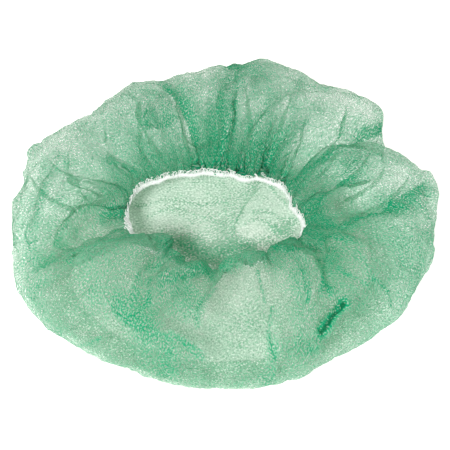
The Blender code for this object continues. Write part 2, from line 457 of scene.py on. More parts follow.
# %% [markdown]
# ## Reading the folds off the photograph
#
# Folds are what makes this cap look like the one in the photograph, and they follow no rule. So each is read
# off the photograph as a short path in its pixels, with its width and depth in millimetres. The camera is
# known, so the script can find where each path lies on the cloth.
#
# There are three kinds. A swell is a long soft ridge or hollow. A tuck is where the cloth doubles over
# itself: it runs forward, turns back under and runs forward again, so three layers lie on each other. Only
# the two lips of the pocket at the left are such tucks. A doubled place is where more cloth lies folded
# behind the wall and shows through, and the same kind of row paints shade into valleys, pockets and creases
# and paler lit lines along fold edges. There the wall's shape stays as it is, and the finish is told to look
# as if it were more layers deep, or fewer. That gives the dense bands, crisp fold lines and pale panels,
# partly as doubled cloth and partly as painted shade and painted highlight.

# %% List the folds
from collections import namedtuple

# Paths are in the photograph's pixels. Widths, heights, bands and reaches are in millimetres.
Swell = namedtuple("Swell", "path width height")
SWELLS = (
    Swell(((292, 196), (306, 185), (320, 173), (336, 162), (352, 155)), 5, 3.0),
    Swell(((306, 209), (330, 202), (355, 193), (380, 181), (402, 172)), 5, 3.5),
    Swell(((300, 204), (320, 194), (342, 182)), 4, -2.5),
    Swell(((304, 221), (330, 222), (356, 217), (380, 207)), 5, -3.5),
    Swell(((335, 222), (348, 229), (356, 236)), 5, -3.5),
    Swell(((330, 240), (350, 250), (370, 265), (385, 285)), 13, 4.0),
    Swell(((122, 214), (98, 214), (78, 220), (66, 234), (60, 250)), 9, -13.0),
    Swell(((110, 224), (90, 230), (74, 241), (62, 251)), 9, -7.0),
    Swell(((183, 258), (165, 261), (150, 267), (140, 282)), 3, -3.0),
    Swell(((128, 196), (105, 192), (80, 195), (62, 205), (50, 220)), 7, 5.0),
    Swell(((175, 249), (150, 246), (120, 249), (90, 262), (66, 280)), 10, 6.0),
    Swell(((205, 268), (186, 269), (167, 275), (152, 288)), 6, 4.0),
    Swell(((208, 273), (190, 280), (170, 291), (150, 306), (128, 318)), 7, -5.0),
    Swell(((240, 262), (245, 285), (250, 310), (255, 335)), 24, 4.0),
    Swell(((290, 247), (310, 243), (322, 256), (327, 275), (332, 295)), 6, -6.0),
    Swell(((347, 300), (333, 317), (318, 336)), 4, -8.0),
    Swell(((228, 268), (245, 265), (262, 261), (278, 256)), 10, 7.0),
    Swell(((152, 246), (166, 252), (180, 258)), 8, 7.5),
    Swell(((188, 168), (180, 145), (168, 120), (150, 98)), 9, 4.0),
    Swell(((202, 150), (196, 120), (188, 95)), 12, -4.0),
    Swell(((226, 160), (226, 120), (226, 80)), 7, 2.5),
    Swell(((238, 160), (240, 140), (243, 120), (246, 105)), 6, -4.0),
    Swell(((262, 172), (270, 140), (280, 105), (290, 80)), 14, 3.0),
    Swell(((288, 182), (300, 165), (315, 148)), 7, -5.0),
    Swell(((350, 118), (365, 121), (380, 121)), 6, 4.0),
    Swell(((352, 104), (368, 108), (378, 116), (380, 128)), 8, 6.0),
    Swell(((236, 66), (238, 78), (239, 92)), 9, 3.2),
    Swell(((420, 168), (430, 182), (433, 204)), 8, 5.0),
    Swell(((46, 152), (34, 175), (25, 200), (20, 230), (22, 262)), 4.0, 2.0),
    Swell(((28, 158), (30, 150), (40, 142)), 5, 2.5),
    Swell(((58, 158), (45, 185), (36, 212), (32, 240)), 3.0, 1.8),
    Swell(((52, 160), (39, 187), (30, 214), (27, 240)), 2.2, -1.6),
    Swell(((74, 178), (62, 192), (52, 212)), 3.0, 1.6),
    Swell(((146, 124), (156, 130), (162, 140)), 1.8, 1.1),
    Swell(((138, 136), (148, 143), (156, 152)), 1.8, 1.1),
    Swell(((152, 146), (160, 158), (170, 171)), 1.8, 1.1),
    Swell(((104, 163), (118, 166), (130, 173)), 2.0, -1.4),
    Swell(((246, 262), (255, 277), (262, 292), (265, 300)), 2.0, 1.3),
    Swell(((270, 298), (271, 330), (276, 366)), 1.6, -1.2),
    Swell(((172, 340), (188, 350), (205, 361)), 1.6, 1.1),
    Swell(((146, 333), (160, 340), (178, 349), (198, 357)), 1.6, -1.1),
    Swell(((312, 288), (311, 298), (313, 308)), 1.6, 1.0),
)
# A tuck's band is its width at the start, the middle and the end of its path, reach is how far to each side
# it draws cloth in, and lift is how far its layers stand apart. top says which side's layer lies on top, seen
# along the path from outside: 1 is the left one and -1 the right one.
Tuck = namedtuple("Tuck", "path band reach lift top")
TUCKS = (
    Tuck(((143, 231), (125, 238), (103, 244), (82, 252), (62, 261), (48, 266)), (0, 0, 1), 7, 0.9, 1),
    Tuck(((127, 208), (110, 205), (92, 205), (76, 211), (64, 222), (55, 236), (50, 250)),
         (0, 1, 0), 8, 0.9, -1),
)
# layers says how many more layers show, or fewer where it is negative. In valleys, pockets and creases it is
# painted shade, and along lit fold edges a negative one is a painted highlight. crisp is 1 where only the
# cloth to the path's left is doubled, -1 where only that to its right is, with a crisp edge along the path,
# and 0 where it is soft on both sides.
DoublingAndShade = namedtuple("DoublingAndShade", "path width layers crisp")
DOUBLED_SHADE_AND_HIGHLIGHTS = (
    DoublingAndShade(((197, 168), (195, 150), (190, 132), (183, 115), (174, 100), (163, 88)), 7, 1.3, -1),
    DoublingAndShade(((197, 168), (195, 150), (190, 132), (183, 115), (174, 100), (163, 88)), 1.3, -0.7, 1),
    DoublingAndShade(((199, 168), (196, 150), (191, 132), (184, 115), (176, 101)), 12, 1.2, -1),
    DoublingAndShade(((180, 124), (170, 127), (161, 121), (152, 114)), 7, 0.5, 0),
    DoublingAndShade(((163, 122), (150, 123), (146, 130), (156, 146)), 6, -0.35, 0),
    DoublingAndShade(((176, 128), (190, 145), (197, 165)), 5, -0.3, 0),
    DoublingAndShade(((172, 92), (195, 112), (212, 130)), 3, 0.4, 0),
    DoublingAndShade(((228, 166), (233, 150), (235, 128), (237, 100), (238, 66)), 15, 1.2, 1),
    DoublingAndShade(((238, 64), (237, 78)), 17, 1.2, 1),
    DoublingAndShade(((212, 168), (213, 140), (214, 118)), 8, 0.8, 0),
    DoublingAndShade(((202, 169), (218, 166), (236, 167)), 8, 1.2, 0),
    DoublingAndShade(((240, 156), (243, 128), (247, 106)), 7, -0.6, 0),
    DoublingAndShade(((238, 168), (239, 149), (244, 131), (252, 116), (262, 105)), 12, 0.6, -1),
    DoublingAndShade(((238, 168), (239, 149), (244, 131), (252, 116), (262, 105)), 1.2, -0.5, -1),
    DoublingAndShade(((272, 168), (284, 150), (302, 131)), 7, 0.6, 1),
    DoublingAndShade(((254, 170), (258, 150), (266, 132)), 5, 0.5, 0),
    DoublingAndShade(((284, 128), (290, 112), (302, 100)), 8, -0.35, 0),
    DoublingAndShade(((302, 95), (311, 105), (318, 108)), 3, 0.4, 1),
    DoublingAndShade(((287, 76), (300, 82), (330, 88)), 4, 0.4, -1),
    DoublingAndShade(((400, 205), (420, 212), (424, 240), (415, 275)), 20, 0.7, 0),
    DoublingAndShade(((140, 84), (152, 90), (165, 100)), 8, 0.3, 0),
    DoublingAndShade(((280, 105), (320, 100), (360, 110)), 16, -0.3, 0),
    DoublingAndShade(((200, 166), (218, 163), (234, 165)), 7, 1.5, 0),
    DoublingAndShade(((150, 129), (160, 128), (171, 124)), 12, 0.9, 1),
    DoublingAndShade(((108, 163), (122, 167), (131, 173)), 5, 0.9, 1),
    DoublingAndShade(((299, 78), (292, 92), (290, 110)), 7, 0.6, 1),
    DoublingAndShade(((284, 192), (297, 182), (313, 169), (328, 160), (341, 146), (362, 140), (383, 134)), 8, 1.7, 1),
    DoublingAndShade(((292, 202), (305, 192), (320, 180), (336, 168)), 4, -0.5, 0),
    DoublingAndShade(((300, 215), (313, 203), (330, 189), (347, 177)), 8, 2.2, -1),
    DoublingAndShade(((312, 219), (335, 205), (365, 192), (400, 181)), 8, -0.45, 0),
    DoublingAndShade(((304, 226), (330, 224), (356, 219), (380, 210), (398, 198), (418, 186)), 8, 2.0, -1),
    DoublingAndShade(((300, 236), (320, 238), (336, 241), (350, 243)), 8, 1.6, 1),
    DoublingAndShade(((362, 128), (372, 127), (380, 124)), 6, 1.0, -1),
    DoublingAndShade(((258, 168), (276, 174)), 6, 0.8, 0),
    DoublingAndShade(((278, 249), (290, 254), (302, 250), (317, 252), (321, 262), (322, 280)), 9, 2.2, 1),
    DoublingAndShade(((160, 242), (174, 246), (182, 253)), 6, 0.8, 0),
    DoublingAndShade(((150, 266), (165, 259), (183, 255), (200, 258), (207, 264)), 7, 0.9, -1),
    DoublingAndShade(((175, 283), (190, 279), (205, 275), (222, 270)), 8, 1.2, 1),
    DoublingAndShade(((196, 266), (206, 270)), 4, 1.0, 0),
    DoublingAndShade(((150, 258), (138, 272), (132, 288), (131, 300)), 9, 0.6, 1),
    DoublingAndShade(((104, 296), (118, 306), (132, 314), (146, 320)), 9, 0.9, 0),
    DoublingAndShade(((146, 334), (160, 343), (168, 356), (166, 374)), 8, 1.0, 0),
    DoublingAndShade(((165, 326), (185, 331), (207, 338)), 6, -0.45, 0),
    DoublingAndShade(((226, 285), (222, 315), (226, 345)), 16, -0.6, 0),
    DoublingAndShade(((262, 280), (256, 310), (258, 345)), 12, -0.5, 0),
    DoublingAndShade(((86, 332), (97, 320)), 2.5, -0.5, 0),
    DoublingAndShade(((317, 250), (320, 262), (320, 275), (327, 291)), 7, 1.3, 1),
    DoublingAndShade(((352, 238), (359, 250), (368, 262), (374, 276)), 6, 0.5, -1),
    DoublingAndShade(((246, 262), (252, 278), (261, 297)), 1.6, -0.8, 0),
    DoublingAndShade(((278, 348), (276, 368), (272, 384)), 7, 0.8, -1),
    DoublingAndShade(((313, 287), (311, 306)), 1.2, -0.8, 0),
    DoublingAndShade(((302, 345), (317, 350)), 7, 0.7, 0),
    DoublingAndShade(((228, 262), (250, 254), (280, 258)), 6, 0.6, 0),
    DoublingAndShade(((285, 257), (298, 264), (304, 282)), 8, 0.5, 1),
    DoublingAndShade(((245, 300), (250, 345)), 14, -0.35, 0),
    DoublingAndShade(((285, 300), (285, 330)), 10, -0.35, 0),
    DoublingAndShade(((95, 330), (130, 350)), 12, -0.3, 0),
    DoublingAndShade(((112, 297), (110, 310), (117, 321), (131, 326)), 7, 0.5, 1),
    DoublingAndShade(((112, 297), (110, 310), (117, 321), (131, 326)), 8, -0.35, -1),
    DoublingAndShade(((180, 334), (200, 345), (214, 364)), 10, -0.4, 0),
    DoublingAndShade(((330, 345), (355, 330), (380, 310)), 9, -0.35, 0),
    DoublingAndShade(((300, 285), (306, 320), (300, 350)), 10, 0.3, -1),
    DoublingAndShade(((163, 276), (176, 290), (190, 302)), 10, 0.6, 0),
    DoublingAndShade(((299, 224), (312, 222), (326, 221)), 6, 1.6, 0),
    DoublingAndShade(((299, 211), (310, 204), (322, 196)), 5, 1.2, 0),
    DoublingAndShade(((286, 196), (296, 188), (304, 180)), 5, 1.0, 0),
    DoublingAndShade(((296, 238), (306, 244), (318, 246)), 7, 1.2, 0),
    DoublingAndShade(((325, 172), (340, 166), (356, 160)), 9, 0.5, 0),
    DoublingAndShade(((40, 200), (30, 240), (34, 280)), 14, 0.3, 0),
    DoublingAndShade(((127, 200), (118, 190), (108, 182)), 7, 0.6, 0),
    DoublingAndShade(((152, 182), (148, 165), (140, 150)), 8, 0.5, 0),
    DoublingAndShade(((50, 264), (62, 261), (82, 252), (103, 244), (125, 238), (145, 234)), 13, 1.1, 1),
    DoublingAndShade(((127, 207), (110, 204), (92, 204), (76, 211), (64, 222), (55, 236), (50, 252)), 9, 1.1, 1),
    DoublingAndShade(((127, 214), (114, 215), (104, 219)), 6, 1.4, 0),
    DoublingAndShade(((52, 262), (62, 259), (82, 250), (103, 242), (125, 236), (145, 232)), 1.2, -0.8, -1),
    DoublingAndShade(((150, 266), (165, 259), (183, 255), (200, 258)), 1.0, -0.8, -1),
    DoublingAndShade(((110, 204), (92, 203), (76, 209), (64, 219), (55, 233), (50, 250)), 1.5, -0.8, -1),
    DoublingAndShade(((54, 249), (60, 256)), 5, -1.3, 0),
    DoublingAndShade(((64, 174), (52, 193), (44, 218), (41, 240)), 3, -0.45, 0),
    DoublingAndShade(((36, 168), (28, 198), (24, 235)), 3, -0.4, 0),
    DoublingAndShade(((52, 168), (41, 193), (34, 222)), 3, 0.5, 0),
    DoublingAndShade(((88, 188), (72, 198), (60, 214)), 5, -0.4, 0),
)# Thin crisp fold lines, which all have the same width.
# These dark lines are partly doubled cloth at the fold and partly painted shade in the crease.
FINE_LINES = (
    ((150, 278), (149, 300)),
    ((126, 319), (138, 311), (150, 301)),
    ((158, 333), (175, 340), (190, 349), (202, 358)),
    ((170, 332), (186, 342), (204, 353)),
    ((216, 289), (204, 298), (197, 310), (199, 327)),
    ((80, 346), (92, 341), (101, 338)),
    ((338, 268), (346, 274), (354, 278), (366, 284)),
    ((372, 278), (387, 289), (391, 306)),
    ((257, 272), (262, 290), (265, 302)),
    ((271, 308), (268, 335), (274, 358)),
    ((309, 288), (308, 302)),
)
DOUBLED_SHADE_AND_HIGHLIGHTS += tuple(DoublingAndShade(path, 1.5, 1.3, 0) for path in FINE_LINES)
# The slit is painted last, over the rest, as painted shade in its narrow hollow: it is given more layers
# than anything else, and the finish turns those dark.
SLIT_SHADE = (
    DoublingAndShade(((344, 304), (332, 319), (321, 333)), 3.4, 5.2, 0),
)
# On the crown, one layer lying on the floor, these rows are painted shade and painted highlight: a dark patch
# near the front edge for the shade under the front lobes, and darker and paler sides along its creases.
CROWN_LIGHT_AND_SHADE = (
    DoublingAndShade(((182, 242), (204, 252), (228, 255), (246, 247)), 10, 1.0, 0),
    DoublingAndShade(((256, 190), (249, 202), (243, 212), (237, 226), (236, 242)), 16, 0.25, -1),
    DoublingAndShade(((256, 190), (249, 202), (243, 212), (237, 226)), 5, -0.2, 1),
    DoublingAndShade(((252, 213), (262, 209), (274, 214), (284, 222)), 1.5, 0.35, 0),
    DoublingAndShade(((244, 224), (256, 218), (268, 222), (279, 231)), 1.5, 0.35, 0),
    DoublingAndShade(((247, 236), (258, 229), (270, 233), (279, 240)), 2.0, -0.25, 0),
    DoublingAndShade(((268, 184), (276, 196), (284, 204)), 2.0, 0.35, 1),
    DoublingAndShade(((270, 242), (280, 235), (290, 224)), 6, 0.35, 0),
    DoublingAndShade(((138, 196), (160, 190), (182, 188), (205, 191)), 6, -0.2, 0),
    DoublingAndShade(((140, 206), (170, 199), (200, 204), (228, 200)), 2.0, 0.25, -1),
    DoublingAndShade(((150, 218), (172, 210), (196, 216), (222, 222)), 3.0, 0.20, 1),
)
layer_and_shade_count = len(DOUBLED_SHADE_AND_HIGHLIGHTS + SLIT_SHADE + CROWN_LIGHT_AND_SHADE)
print("Listed", len(SWELLS), "swells,", len(TUCKS), "tucks and", layer_and_shade_count, "doubled places")

# %% Find the folds on the cloth
FINE_AROUND = 760
FINE_ALONG = 108
MM = 0.001
PATH_STEP = 4.0
SEEN_WITHIN = 2.5
HIDDEN_PENALTY = 100.0
SAME_LAYER = 0.008
FORM_NORMAL_BLUR = (4.0, 2.0)
LEAST_FACING = 0.02


def as_seen(points):
    """The photograph's pixels where points are seen, and their distances along the view."""
    away = points - np.array(camera.location)
    turn = np.array(camera.rotation_euler.to_matrix())
    depth = -(away @ turn[:, 2])
    scale = PIXELS_PER_METRE * CAMERA_DISTANCE / depth
    return AIM_PIXEL[0] + scale * (away @ turn[:, 0]), AIM_PIXEL[1] - scale * (away @ turn[:, 1]), depth


def relaxed(line, times):
    """The line with its kinks eased that many times, and its ends where they were."""
    for _ in range(times):
        line[1:-1] = (line[:-2] + 2 * line[1:-1] + line[2:]) / 4
    return line


def path_on_cloth(path, points, faces_camera):
    """A pixel path as points on the cloth where it is nearest to the camera."""
    corners = np.array(path, float)
    pixels = finer(corners, max(int(step_lengths(corners).sum() / PATH_STEP), 3) + 1, 0, False)
    across, down, depth = as_seen(points)
    found = []
    for x, y in pixels:
        apart = np.hypot(across - x, down - y) + np.where(faces_camera, 0.0, HIDDEN_PENALTY)
        near = apart < max(SEEN_WITHIN, apart.min() + 0.5)
        front = near & (depth < depth[near].min() + SAME_LAYER)
        found.append(points[np.where(front, apart, np.inf).argmin()])
    return relaxed(np.array(found), 4)


def measure_path(points, normals, line, reach):
    """Which points lie within reach of a path, their shares of the way along it, how far to its left they
    are, and which way its left is."""
    low, high = line.min(axis=0) - reach, line.max(axis=0) + reach
    chosen = np.nonzero(((points > low) & (points < high)).all(axis=1))[0]
    near = points[chosen]
    best = np.full(len(near), np.inf)
    share = np.zeros(len(near))
    heading = np.zeros((len(near), 3))
    offset = np.zeros((len(near), 3))
    ends = running_sum(step_lengths(line))
    ends /= ends[-1]
    headings = unit(np.gradient(line, axis=0))
    for step in range(len(line) - 1):
        run = line[step + 1] - line[step]
        part = np.clip((near - line[step]) @ run / (run @ run), 0.0, 1.0)
        away = near - line[step] - part[:, None] * run
        apart = np.linalg.norm(away, axis=1)
        closer = apart < best
        best[closer] = apart[closer]
        offset[closer] = away[closer]
        share[closer] = ends[step] + (ends[step + 1] - ends[step]) * part[closer]
        blend = part[closer, None]
        heading[closer] = headings[step] * (1 - blend) + headings[step + 1] * blend
    left = unit(np.cross(normals[chosen], unit(heading)))
    sign = np.sign((offset * left).sum(axis=1))
    kept = best < reach
    return chosen[kept], share[kept], (best * sign)[kept], left[kept]


def smooth_rise(low, high, values):
    """0 below low, 1 above high, and a soft step between them."""
    share = np.clip((values - low) / (high - low), 0.0, 1.0)
    return share * share * (3.0 - 2.0 * share)


fine_form = finer(finer(form_points, FINE_AROUND, 0, True), FINE_ALONG, 1, False)
fine_normals = soft_normals(fine_form, FORM_NORMAL_BLUR)
towards = unit(np.array(camera.location) - fine_form)
faces_camera = ((fine_normals * towards).sum(axis=-1) > LEAST_FACING).reshape(-1)
flat_form = fine_form.reshape(-1, 3)
swell_lines = [path_on_cloth(row.path, flat_form, faces_camera) for row in SWELLS]
tuck_lines = [path_on_cloth(row.path, flat_form, faces_camera) for row in TUCKS]
print("The longest tuck is", round(max(step_lengths(line).sum() for line in tuck_lines), 3), "m")

# %% Swell the form
SWELL_NORMAL_BLUR = (1.5, 1.0)


def swell(points):
    """The form with its soft ridges and hollows, which fade towards their ends."""
    normals = soft_normals(points, SWELL_NORMAL_BLUR).reshape(-1, 3)
    flat = points.reshape(-1, 3)
    moved = flat.copy()
    for row, line in zip(SWELLS, swell_lines):
        width = row.width * MM
        chosen, share, aside, _ = measure_path(flat, normals, line, 3.0 * width)
        strength = smooth_rise(-0.02, 0.2, share) * (1.0 - smooth_rise(0.75, 1.0, share))
        height = row.height * MM * np.exp(-(aside / width) ** 2) * strength
        moved[chosen] += normals[chosen] * height[:, None]
    return moved.reshape(points.shape)


swelled_points = swell(form_points)
print("Swelled the form by up to", round(float(np.abs(swelled_points - form_points).max()) * 1000, 1), "mm")

# %% [markdown]
# ## Crumpling the cloth
#
# A bought form is too tidy. The real cloth has more area than the form it fills, so it buckles into creases
# of its own between the folds. A cloth simulation finds them: the sheet is given rest lengths a little longer
# than the form's, most of all near the elastic, it is held at the mouth and on the floor, and weakly
# everywhere else, and it is left to settle. Each point may move only a few millimetres, so the cap keeps its
# outline.

# %% Let the cloth settle
SETTLE_FRAMES = 30
MOST_MOVE = 0.0075
SLACK_ALONG = (0.0, 0.2, 0.55, 0.9, 1.0)
SLACK_SHARES = (0.1, 0.25, 0.5, 1.0, 1.0)
HOLD_EVERYWHERE = 0.30
START_SEED = 41
START_ROUGHNESS = 0.0006
START_BLUR = (2.6, 2.6)
CLOTH_SETTINGS = dict(
    quality=6, mass=0.02, tension_stiffness=15.0, compression_stiffness=15.0, shear_stiffness=6.0,
    bending_model="ANGULAR", bending_stiffness=0.3, air_damping=2.0, vertex_group_mass="hold",
    pin_stiffness=1.0, vertex_group_shrink="slack", shrink_min=-0.02, shrink_max=-0.20,
)


def ring_faces(count_around, count_along, first=0):
    """Quads of a grid that is closed round the cap, facing out when the grid climbs its outer side."""
    around, along = np.meshgrid(np.arange(count_around), np.arange(count_along - 1), indexing="ij")
    beside = (around + 1) % count_around
    corners = [around * count_along + along, beside * count_along + along]
    corners += [corners[1] + 1, corners[0] + 1]
    return np.stack(corners, axis=-1).reshape(-1, 4) + first


def let_settle(points):
    """The points after the slack cloth has buckled, none of them moved by more than MOST_MOVE."""
    count_around, count_along = points.shape[:2]
    draws = np.random.default_rng(START_SEED)
    rough = soft_grid(draws.normal(size=(count_around, count_along)), START_BLUR)
    rough *= START_ROUGHNESS / rough.std()
    rough[:, :3] = 0.0
    rough[:, -2:] = 0.0
    start = points + grid_normals(points) * rough[..., None]
    mesh = bpy.data.meshes.new("settling")
    mesh.from_pydata(start.reshape(-1, 3).tolist(), [], ring_faces(count_around, count_along).tolist())
    sheet = add_object("settling", mesh)
    hold = sheet.vertex_groups.new(name="hold")
    slack = sheet.vertex_groups.new(name="slack")
    for step, share in enumerate(np.linspace(0.0, 1.0, count_along)):
        column = [index * count_along + step for index in range(count_around)]
        firmly = step < 2 or step == count_along - 1
        hold.add(column, 1.0 if firmly else HOLD_EVERYWHERE, "REPLACE")
        slack.add(column, float(np.interp(share, SLACK_ALONG, SLACK_SHARES)), "REPLACE")
    cloth = sheet.modifiers.new("cloth", "CLOTH")
    for name, value in CLOTH_SETTINGS.items():
        setattr(cloth.settings, name, value)
    cloth.settings.effector_weights.gravity = 0.0
    cloth.collision_settings.use_collision = False
    cloth.point_cache.frame_start = 1
    cloth.point_cache.frame_end = SETTLE_FRAMES
    for step in range(1, SETTLE_FRAMES + 1):
        bpy.context.scene.frame_set(step)
    settled_mesh = sheet.evaluated_get(bpy.context.evaluated_depsgraph_get()).to_mesh()
    settled = np.zeros(count_around * count_along * 3)
    settled_mesh.vertices.foreach_get("co", settled)
    bpy.data.objects.remove(sheet)
    bpy.context.scene.frame_set(1)
    moves = settled.reshape(points.shape) - points
    lengths = np.linalg.norm(moves, axis=2, keepdims=True)
    moves *= MOST_MOVE * np.tanh(lengths / MOST_MOVE) / np.maximum(lengths, 1e-9)
    print("The cloth settled by", round(float(lengths.mean()) * 1000, 2), "mm on average")
    return points + moves


settled_points = let_settle(swelled_points)

# %% [markdown]
# ## Tucks and gathers
#
# Each tuck is folded on a finer grid. Points to its left move right and points to its right move left, so far
# that they pass each other, and a small lift keeps the three layers apart. Low on the far side, which the
# photograph can't show, the spare cloth is folded away in tucks that are drawn at random.
#
# At the elastic the gathers are small and quick. Going out they join two by two into wider ones, so they are
# made as three waves, each twice as wide as the last and reaching further.

# %% Refine the grid
fine_points = finer(finer(settled_points, FINE_AROUND, 0, True), FINE_ALONG, 1, False)
around_degrees = np.arange(FINE_AROUND)[:, None] * 360.0 / FINE_AROUND
along_shares = np.linspace(0.0, 1.0, FINE_ALONG)[None, :]
crest_share = float(fine_points[..., 2].argmax(axis=1).mean() / (FINE_ALONG - 1))
from_middle = np.linalg.norm(fine_points[..., :2] - np.array(mouth_middle.xy), axis=2)
belly_share = float(from_middle.argmax(axis=1).mean() / (FINE_ALONG - 1))
print("The belly is", round(belly_share, 2), "and the crest", round(crest_share, 2), "of the way along")

# %% Fold the tucks
HIDDEN_TUCKS = 18
HIDDEN_TUCK_SEED = 3
HIDDEN_FROM, HIDDEN_TO = 25.0, 155.0
HIDDEN_LEAN = 9
HIDDEN_FOOT = 0.02
HIDDEN_TOPS = (0.28, 0.46)
HIDDEN_BANDS = (0.0010, 0.0040)
HIDDEN_REACHES = (0.006, 0.011)
HIDDEN_LIFT = 0.0012
HIDDEN_FADES = (0.1, 0.5)
TUCK_FADES = (0.0, 0.28)
PAST_RIM = 0.012
SEAM_FROM = 0.965
FLATTER_FROM = 0.93
WAVE_TOP = 0.65

all_round = np.ones((FINE_AROUND, 1))
lift_left = (1.0 - 0.85 * smooth_rise(FLATTER_FROM, 1.0, along_shares) * all_round).reshape(-1)
before_seam = (1.0 - smooth_rise(SEAM_FROM, 1.0, along_shares) * all_round).reshape(-1)


def tuck_moves(moves, normals, line, band, reach, lift, top, fades):
    """Adds the moves that fold one tuck along a line. band is its width at three places along it, and fades
    are the shares of the line over which it runs out at its start and its end."""
    chosen, share, aside, left = measure_path(flat_form, normals, line, reach)
    across = aside / reach
    window = np.cos(0.5 * math.pi * across) ** 2
    wave = window * np.sin(math.pi * across) / WAVE_TOP
    strength = smooth_rise(-1e-6, fades[0], share) if fades[0] else 1.0
    strength = strength * (1.0 - smooth_rise(1.0 - fades[1], 1.0, share))
    width = np.interp(share, (0.0, 0.5, 1.0), band)
    moves[chosen] -= left * (0.5 * (width + 0.66 * reach) * wave * strength)[:, None]
    rise = (lift * top * wave - 0.6 * lift * window) * strength * lift_left[chosen]
    moves[chosen] += normals[chosen] * rise[:, None]


def line_on_grid(start_degrees, end_degrees, start_share, end_share, count):
    """A line over the form from one azimuth and share of the way along to another."""
    degrees = np.linspace(start_degrees, end_degrees, count)
    shares = np.linspace(start_share, end_share, count)
    around = np.round(degrees / 360.0 * FINE_AROUND).astype(int) % FINE_AROUND
    return relaxed(fine_form[around, np.round(shares * (FINE_ALONG - 1)).astype(int)], 3)


def fold_tucks(points):
    """The pocket's lips, then the hidden tucks. None of them reaches into the elastic's seam."""
    normals = soft_normals(points).reshape(-1, 3)
    moves = np.zeros_like(flat_form)
    for row, line in zip(TUCKS, tuck_lines):
        inwards = line[0] - PAST_RIM * unit(line[1] - line[0])
        longer = np.concatenate([[inwards], line])
        band = np.array(row.band) * MM
        tuck_moves(moves, normals, longer, band, row.reach * MM, row.lift * MM, row.top, TUCK_FADES)
    draws = np.random.default_rng(HIDDEN_TUCK_SEED)
    for index in range(HIDDEN_TUCKS):
        foot = HIDDEN_FROM + (HIDDEN_TO - HIDDEN_FROM) * (index + draws.uniform(0.2, 0.8)) / HIDDEN_TUCKS
        head = foot + draws.uniform(-HIDDEN_LEAN, HIDDEN_LEAN)
        line = line_on_grid(foot, head, HIDDEN_FOOT, draws.uniform(*HIDDEN_TOPS), 24)
        band = draws.uniform(*HIDDEN_BANDS) * np.ones(3)
        reach = draws.uniform(*HIDDEN_REACHES)
        tuck_moves(moves, normals, line, band, reach, HIDDEN_LIFT, draws.choice((-1, 1)), HIDDEN_FADES)
    moves *= before_seam[:, None]
    return points + moves.reshape(points.shape)


tucked_points = fold_tucks(fine_points)
print("Folded", len(TUCKS), "tucks by eye and", HIDDEN_TUCKS, "hidden ones")

# %% Draw up the gathers
GATHER_SEED = 23
Gather = namedtuple("Gather", "count height reach")
GATHERS = (
    Gather(count=83, height=0.00045, reach=0.92),
    Gather(count=41, height=0.00055, reach=0.84),
    Gather(count=21, height=0.00080, reach=0.66),
)
GATHER_WIDTHS = (0.6, 1.4)
GATHER_HEIGHTS = (0.2, 1.4)
RUFFLES = 163
RUFFLE_HEIGHT = 0.0010
RUFFLES_FROM = 0.95


def uneven_wave(count, draws):
    """A wave round the cap with that many uneven humps."""
    ends = running_sum(draws.uniform(*GATHER_WIDTHS, size=count))
    ends *= 360.0 / ends[-1]
    heights = draws.uniform(*GATHER_HEIGHTS, size=count)
    place = around_degrees[:, 0]
    hump = np.clip(np.searchsorted(ends, place, side="right") - 1, 0, count - 1)
    share = (place - ends[hump]) / (ends[hump + 1] - ends[hump])
    return np.sin(2.0 * math.pi * share) * heights[hump]


def draw_gathers(points):
    """The cloth with the waves of its gathers, which are full at the elastic."""
    draws = np.random.default_rng(GATHER_SEED)
    lift = np.zeros(points.shape[:2])
    for row in GATHERS:
        wave = uneven_wave(row.count, draws)[:, None]
        strength = smooth_rise(row.reach - 0.06, min(row.reach + 0.16, 1.0), along_shares)
        lift += row.height * wave * strength * (1.0 - 0.8 * smooth_rise(SEAM_FROM, 1.0, along_shares))
    ruffles = RUFFLE_HEIGHT * uneven_wave(RUFFLES, draws)[:, None]
    lift += ruffles * smooth_rise(RUFFLES_FROM, 1.0, along_shares)
    return points + soft_normals(points) * lift[..., None]


gathered_points = draw_gathers(tucked_points)
drawn_edge = np.concatenate([gathered_points[:, -1], gathered_points[:1, -1]])
print("The drawn edge is", round(step_lengths(drawn_edge).sum(), 3), "m long")

# %% [markdown]
# ## Creases
#
# Nonwoven takes a sharp crease wherever it is crushed, and keeps it. Between creases it stays flat, so it
# looks faceted, like crumpled paper. Scattered seeds share the flat cut between them, each with a cell of
# its own, and every point rises or sinks with its distance from the nearest cell border. That gives flat
# facets that meet in straight creases, and because the seeds lie on the flat cut the creases crowd together
# where the cloth is gathered.

# %% Crumple the cloth
from mathutils.kdtree import KDTree

CREASE_SEED = 5
RADII_BLUR = 12.0
SLOW_BEND = 0.0035
QUICK_BEND = 0.0012
FLAT_WIDTH = 0.60
FLAT_AREA = math.pi * (FLAT_WIDTH / 2) ** 2
Crumple = namedtuple("Crumple", "cell slope")
CRUMPLES = (
    Crumple(cell=0.030, slope=0.17),
    Crumple(cell=0.014, slope=0.20),
    Crumple(cell=0.0065, slope=0.16),
)


def cut_radii(points):
    """How far each grid point is from the crown's middle along the cloth, in metres."""
    along = np.array([running_sum(step_lengths(line)) for line in points])
    first = np.linalg.norm(points[:, 0] - np.array(mouth_middle), axis=1)
    radii = soft_round(first[:, None] + along, RADII_BLUR)
    return radii * (FLAT_WIDTH / 2) / radii[:, -1:].mean()


def on_flat_cut(radii):
    """Where each grid point lies on the flat cut, in metres from its middle."""
    turns = np.radians(around_degrees)
    return np.stack([(radii * np.cos(turns)).reshape(-1), (radii * np.sin(turns)).reshape(-1)], axis=1)


